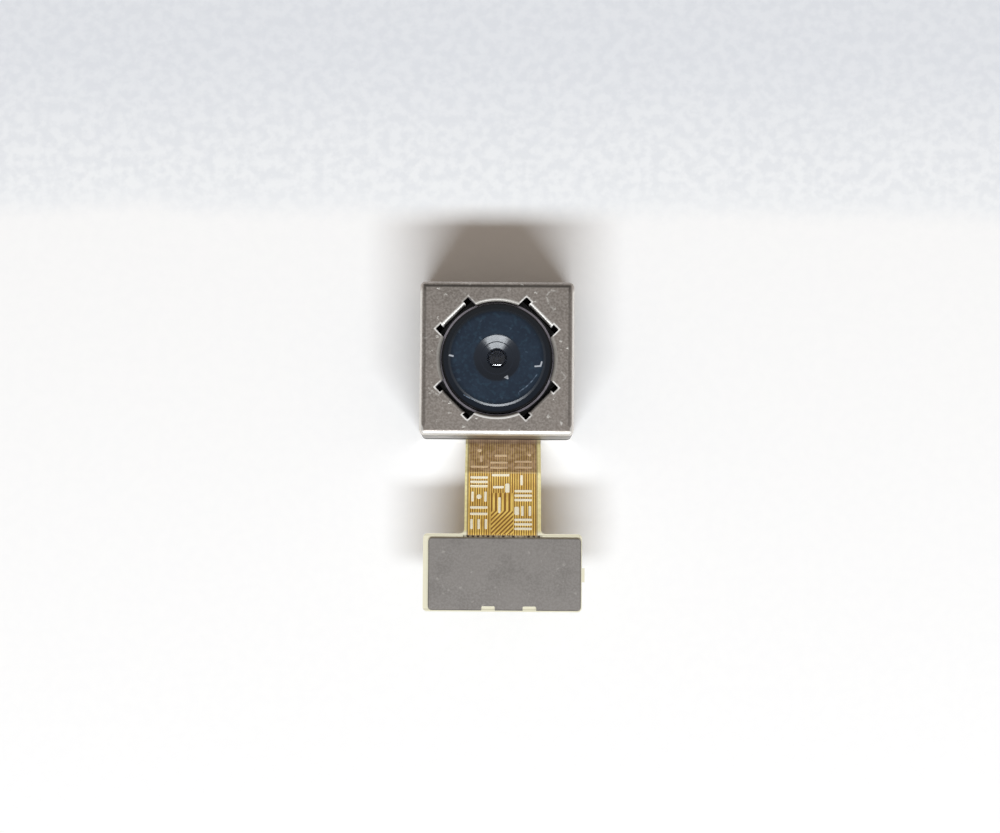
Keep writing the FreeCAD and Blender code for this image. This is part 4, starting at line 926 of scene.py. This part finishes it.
def add_floor():
    """Pale paper that turns a cool, mottled grey behind the module."""
    clear_selection()
    bpy.ops.mesh.primitive_plane_add(size=FLOOR_SIZE, location=(0.0, 0.0, 0.0))
    floor = bpy.context.object
    floor.name = "floor"
    material, tree, shader, place = new_finish("pale_paper", 0.9, 0.0, 0.1)
    _, along, _ = split(tree, place)
    ripple = multiply(tree, noise(tree, place, 0.12, 4.0), 2.0)
    uneven = calculate(tree, "ADD", along, ripple)
    colour = mix(tree, fade(tree, uneven, *PAPER_TURNS), WHITE, paint(248, 250, 252))
    colour = mix(tree, fade(tree, uneven, *PAPER_DARKENS), colour, paint(234, 237, 242))
    fine = fade(tree, noise(tree, place, 1.6, 4.0), 0.36, 0.64, 0.0, 0.3)
    fine = multiply(tree, fine, fade(tree, uneven, *PAPER_MOTTLES, 0.1, 1.0))
    tree.links.new(mix(tree, fine, colour, paint(214, 218, 226)), shader.inputs["Base Color"])
    floor.data.materials.append(material)


def add_lamp(name, width, depth, power):
    """A rectangular soft lamp, still at the origin and facing down."""
    lamp = bpy.data.lights.new(name, "AREA")
    lamp.shape = "RECTANGLE"
    lamp.size = width
    lamp.size_y = depth
    lamp.energy = power
    holder = bpy.data.objects.new(name, lamp)
    bpy.context.collection.objects.link(holder)
    return holder


def add_window():
    """A wide soft lamp beyond the connector end."""
    window = add_lamp("front_window", KEY_WIDTH, KEY_DEPTH, KEY_POWER)
    window.data.color = KEY_TINT
    rise = math.radians(KEY_ELEVATION)
    aside = math.radians(KEY_ASIDE)
    level = math.cos(rise)
    window.location = (
        level * math.sin(aside) * KEY_DISTANCE,
        -level * math.cos(aside) * KEY_DISTANCE,
        math.sin(rise) * KEY_DISTANCE,
    )
    window.rotation_euler = (math.pi / 2 - rise, 0.0, aside)


def add_wall_glow():
    """What the can's front wall throws back on the neck. It lights, and isn't seen or mirrored."""
    glow = add_lamp("wall_glow", CAN_HIGH.x - CAN_LOW.x, CAN_HIGH.z, WALL_GLOW_POWER)
    glow.location = (0.0, CAN_LOW.y - WALL_GLOW_GAP, CAN_HIGH.z / 2)
    glow.rotation_euler = (-math.pi / 2, 0.0, 0.0)
    glow.visible_camera = False
    glow.visible_glossy = False


def add_surround():
    """An even, warm, dim fill. Shiny and clear surfaces see it white near the floor and grey overhead."""
    world = bpy.data.worlds.new("white_surround")
    bpy.context.scene.world = world
    world.use_nodes = True
    tree = world.node_tree
    background = tree.nodes["Background"]
    rays = tree.nodes.new("ShaderNodeLightPath").outputs
    seen = strongest(tree, rays["Is Camera Ray"], rays["Is Glossy Ray"], rays["Is Transmission Ray"])
    _, behind, up = split(tree, tree.nodes.new("ShaderNodeTexCoord").outputs["Generated"])
    overhead = fade(tree, up, *ZENITH_UP, SKY_MIDDLE, SKY_ZENITH)
    darker = fade(tree, behind, *CEILING_BEHIND, 0.0, 1 - SKY_BEHIND)
    ceiling = multiply(tree, fade(tree, up, *CEILING_UP), darker)
    overhead = multiply(tree, overhead, invert(tree, ceiling))
    horizon = fade(tree, behind, *LAMP_SIDE, SKY_BELOW_LAMP, SKY_HORIZON)
    sky = mix_numbers(tree, fade(tree, up, *HORIZON_UP), horizon, overhead)
    tree.links.new(mix(tree, seen, FILL_TINT, WHITE), background.inputs["Color"])
    tree.links.new(mix_numbers(tree, seen, WORLD_FILL, sky), background.inputs["Strength"])


def add_camera():
    """Looks down on the module from a little in front of it."""
    lens = bpy.data.cameras.new("photo_camera")
    lens.sensor_width = SENSOR_WIDTH
    lens.lens = SENSOR_WIDTH * CAMERA_DISTANCE / PICTURE_WIDTH
    lens.clip_start = 5 * MM
    camera = bpy.data.objects.new("photo_camera", lens)
    bpy.context.collection.objects.link(camera)
    tilt = math.radians(CAMERA_TILT)
    aim = Vector(CAMERA_AIM) * MM
    back = Vector((0.0, -math.sin(tilt), math.cos(tilt)))
    turn = back.to_track_quat("Z", "Y").to_matrix().to_4x4()
    roll = Matrix.Rotation(math.radians(CAMERA_ROLL), 4, "Z")
    camera.matrix_world = Matrix.Translation(aim + back * CAMERA_DISTANCE) @ turn @ roll
    bpy.context.scene.camera = camera


dress_frame()
print_ink()
print_faded_ink()
add_floor()
add_window()
add_wall_glow()
add_surround()
add_camera()
bpy.context.scene.view_settings.view_transform = "Standard"
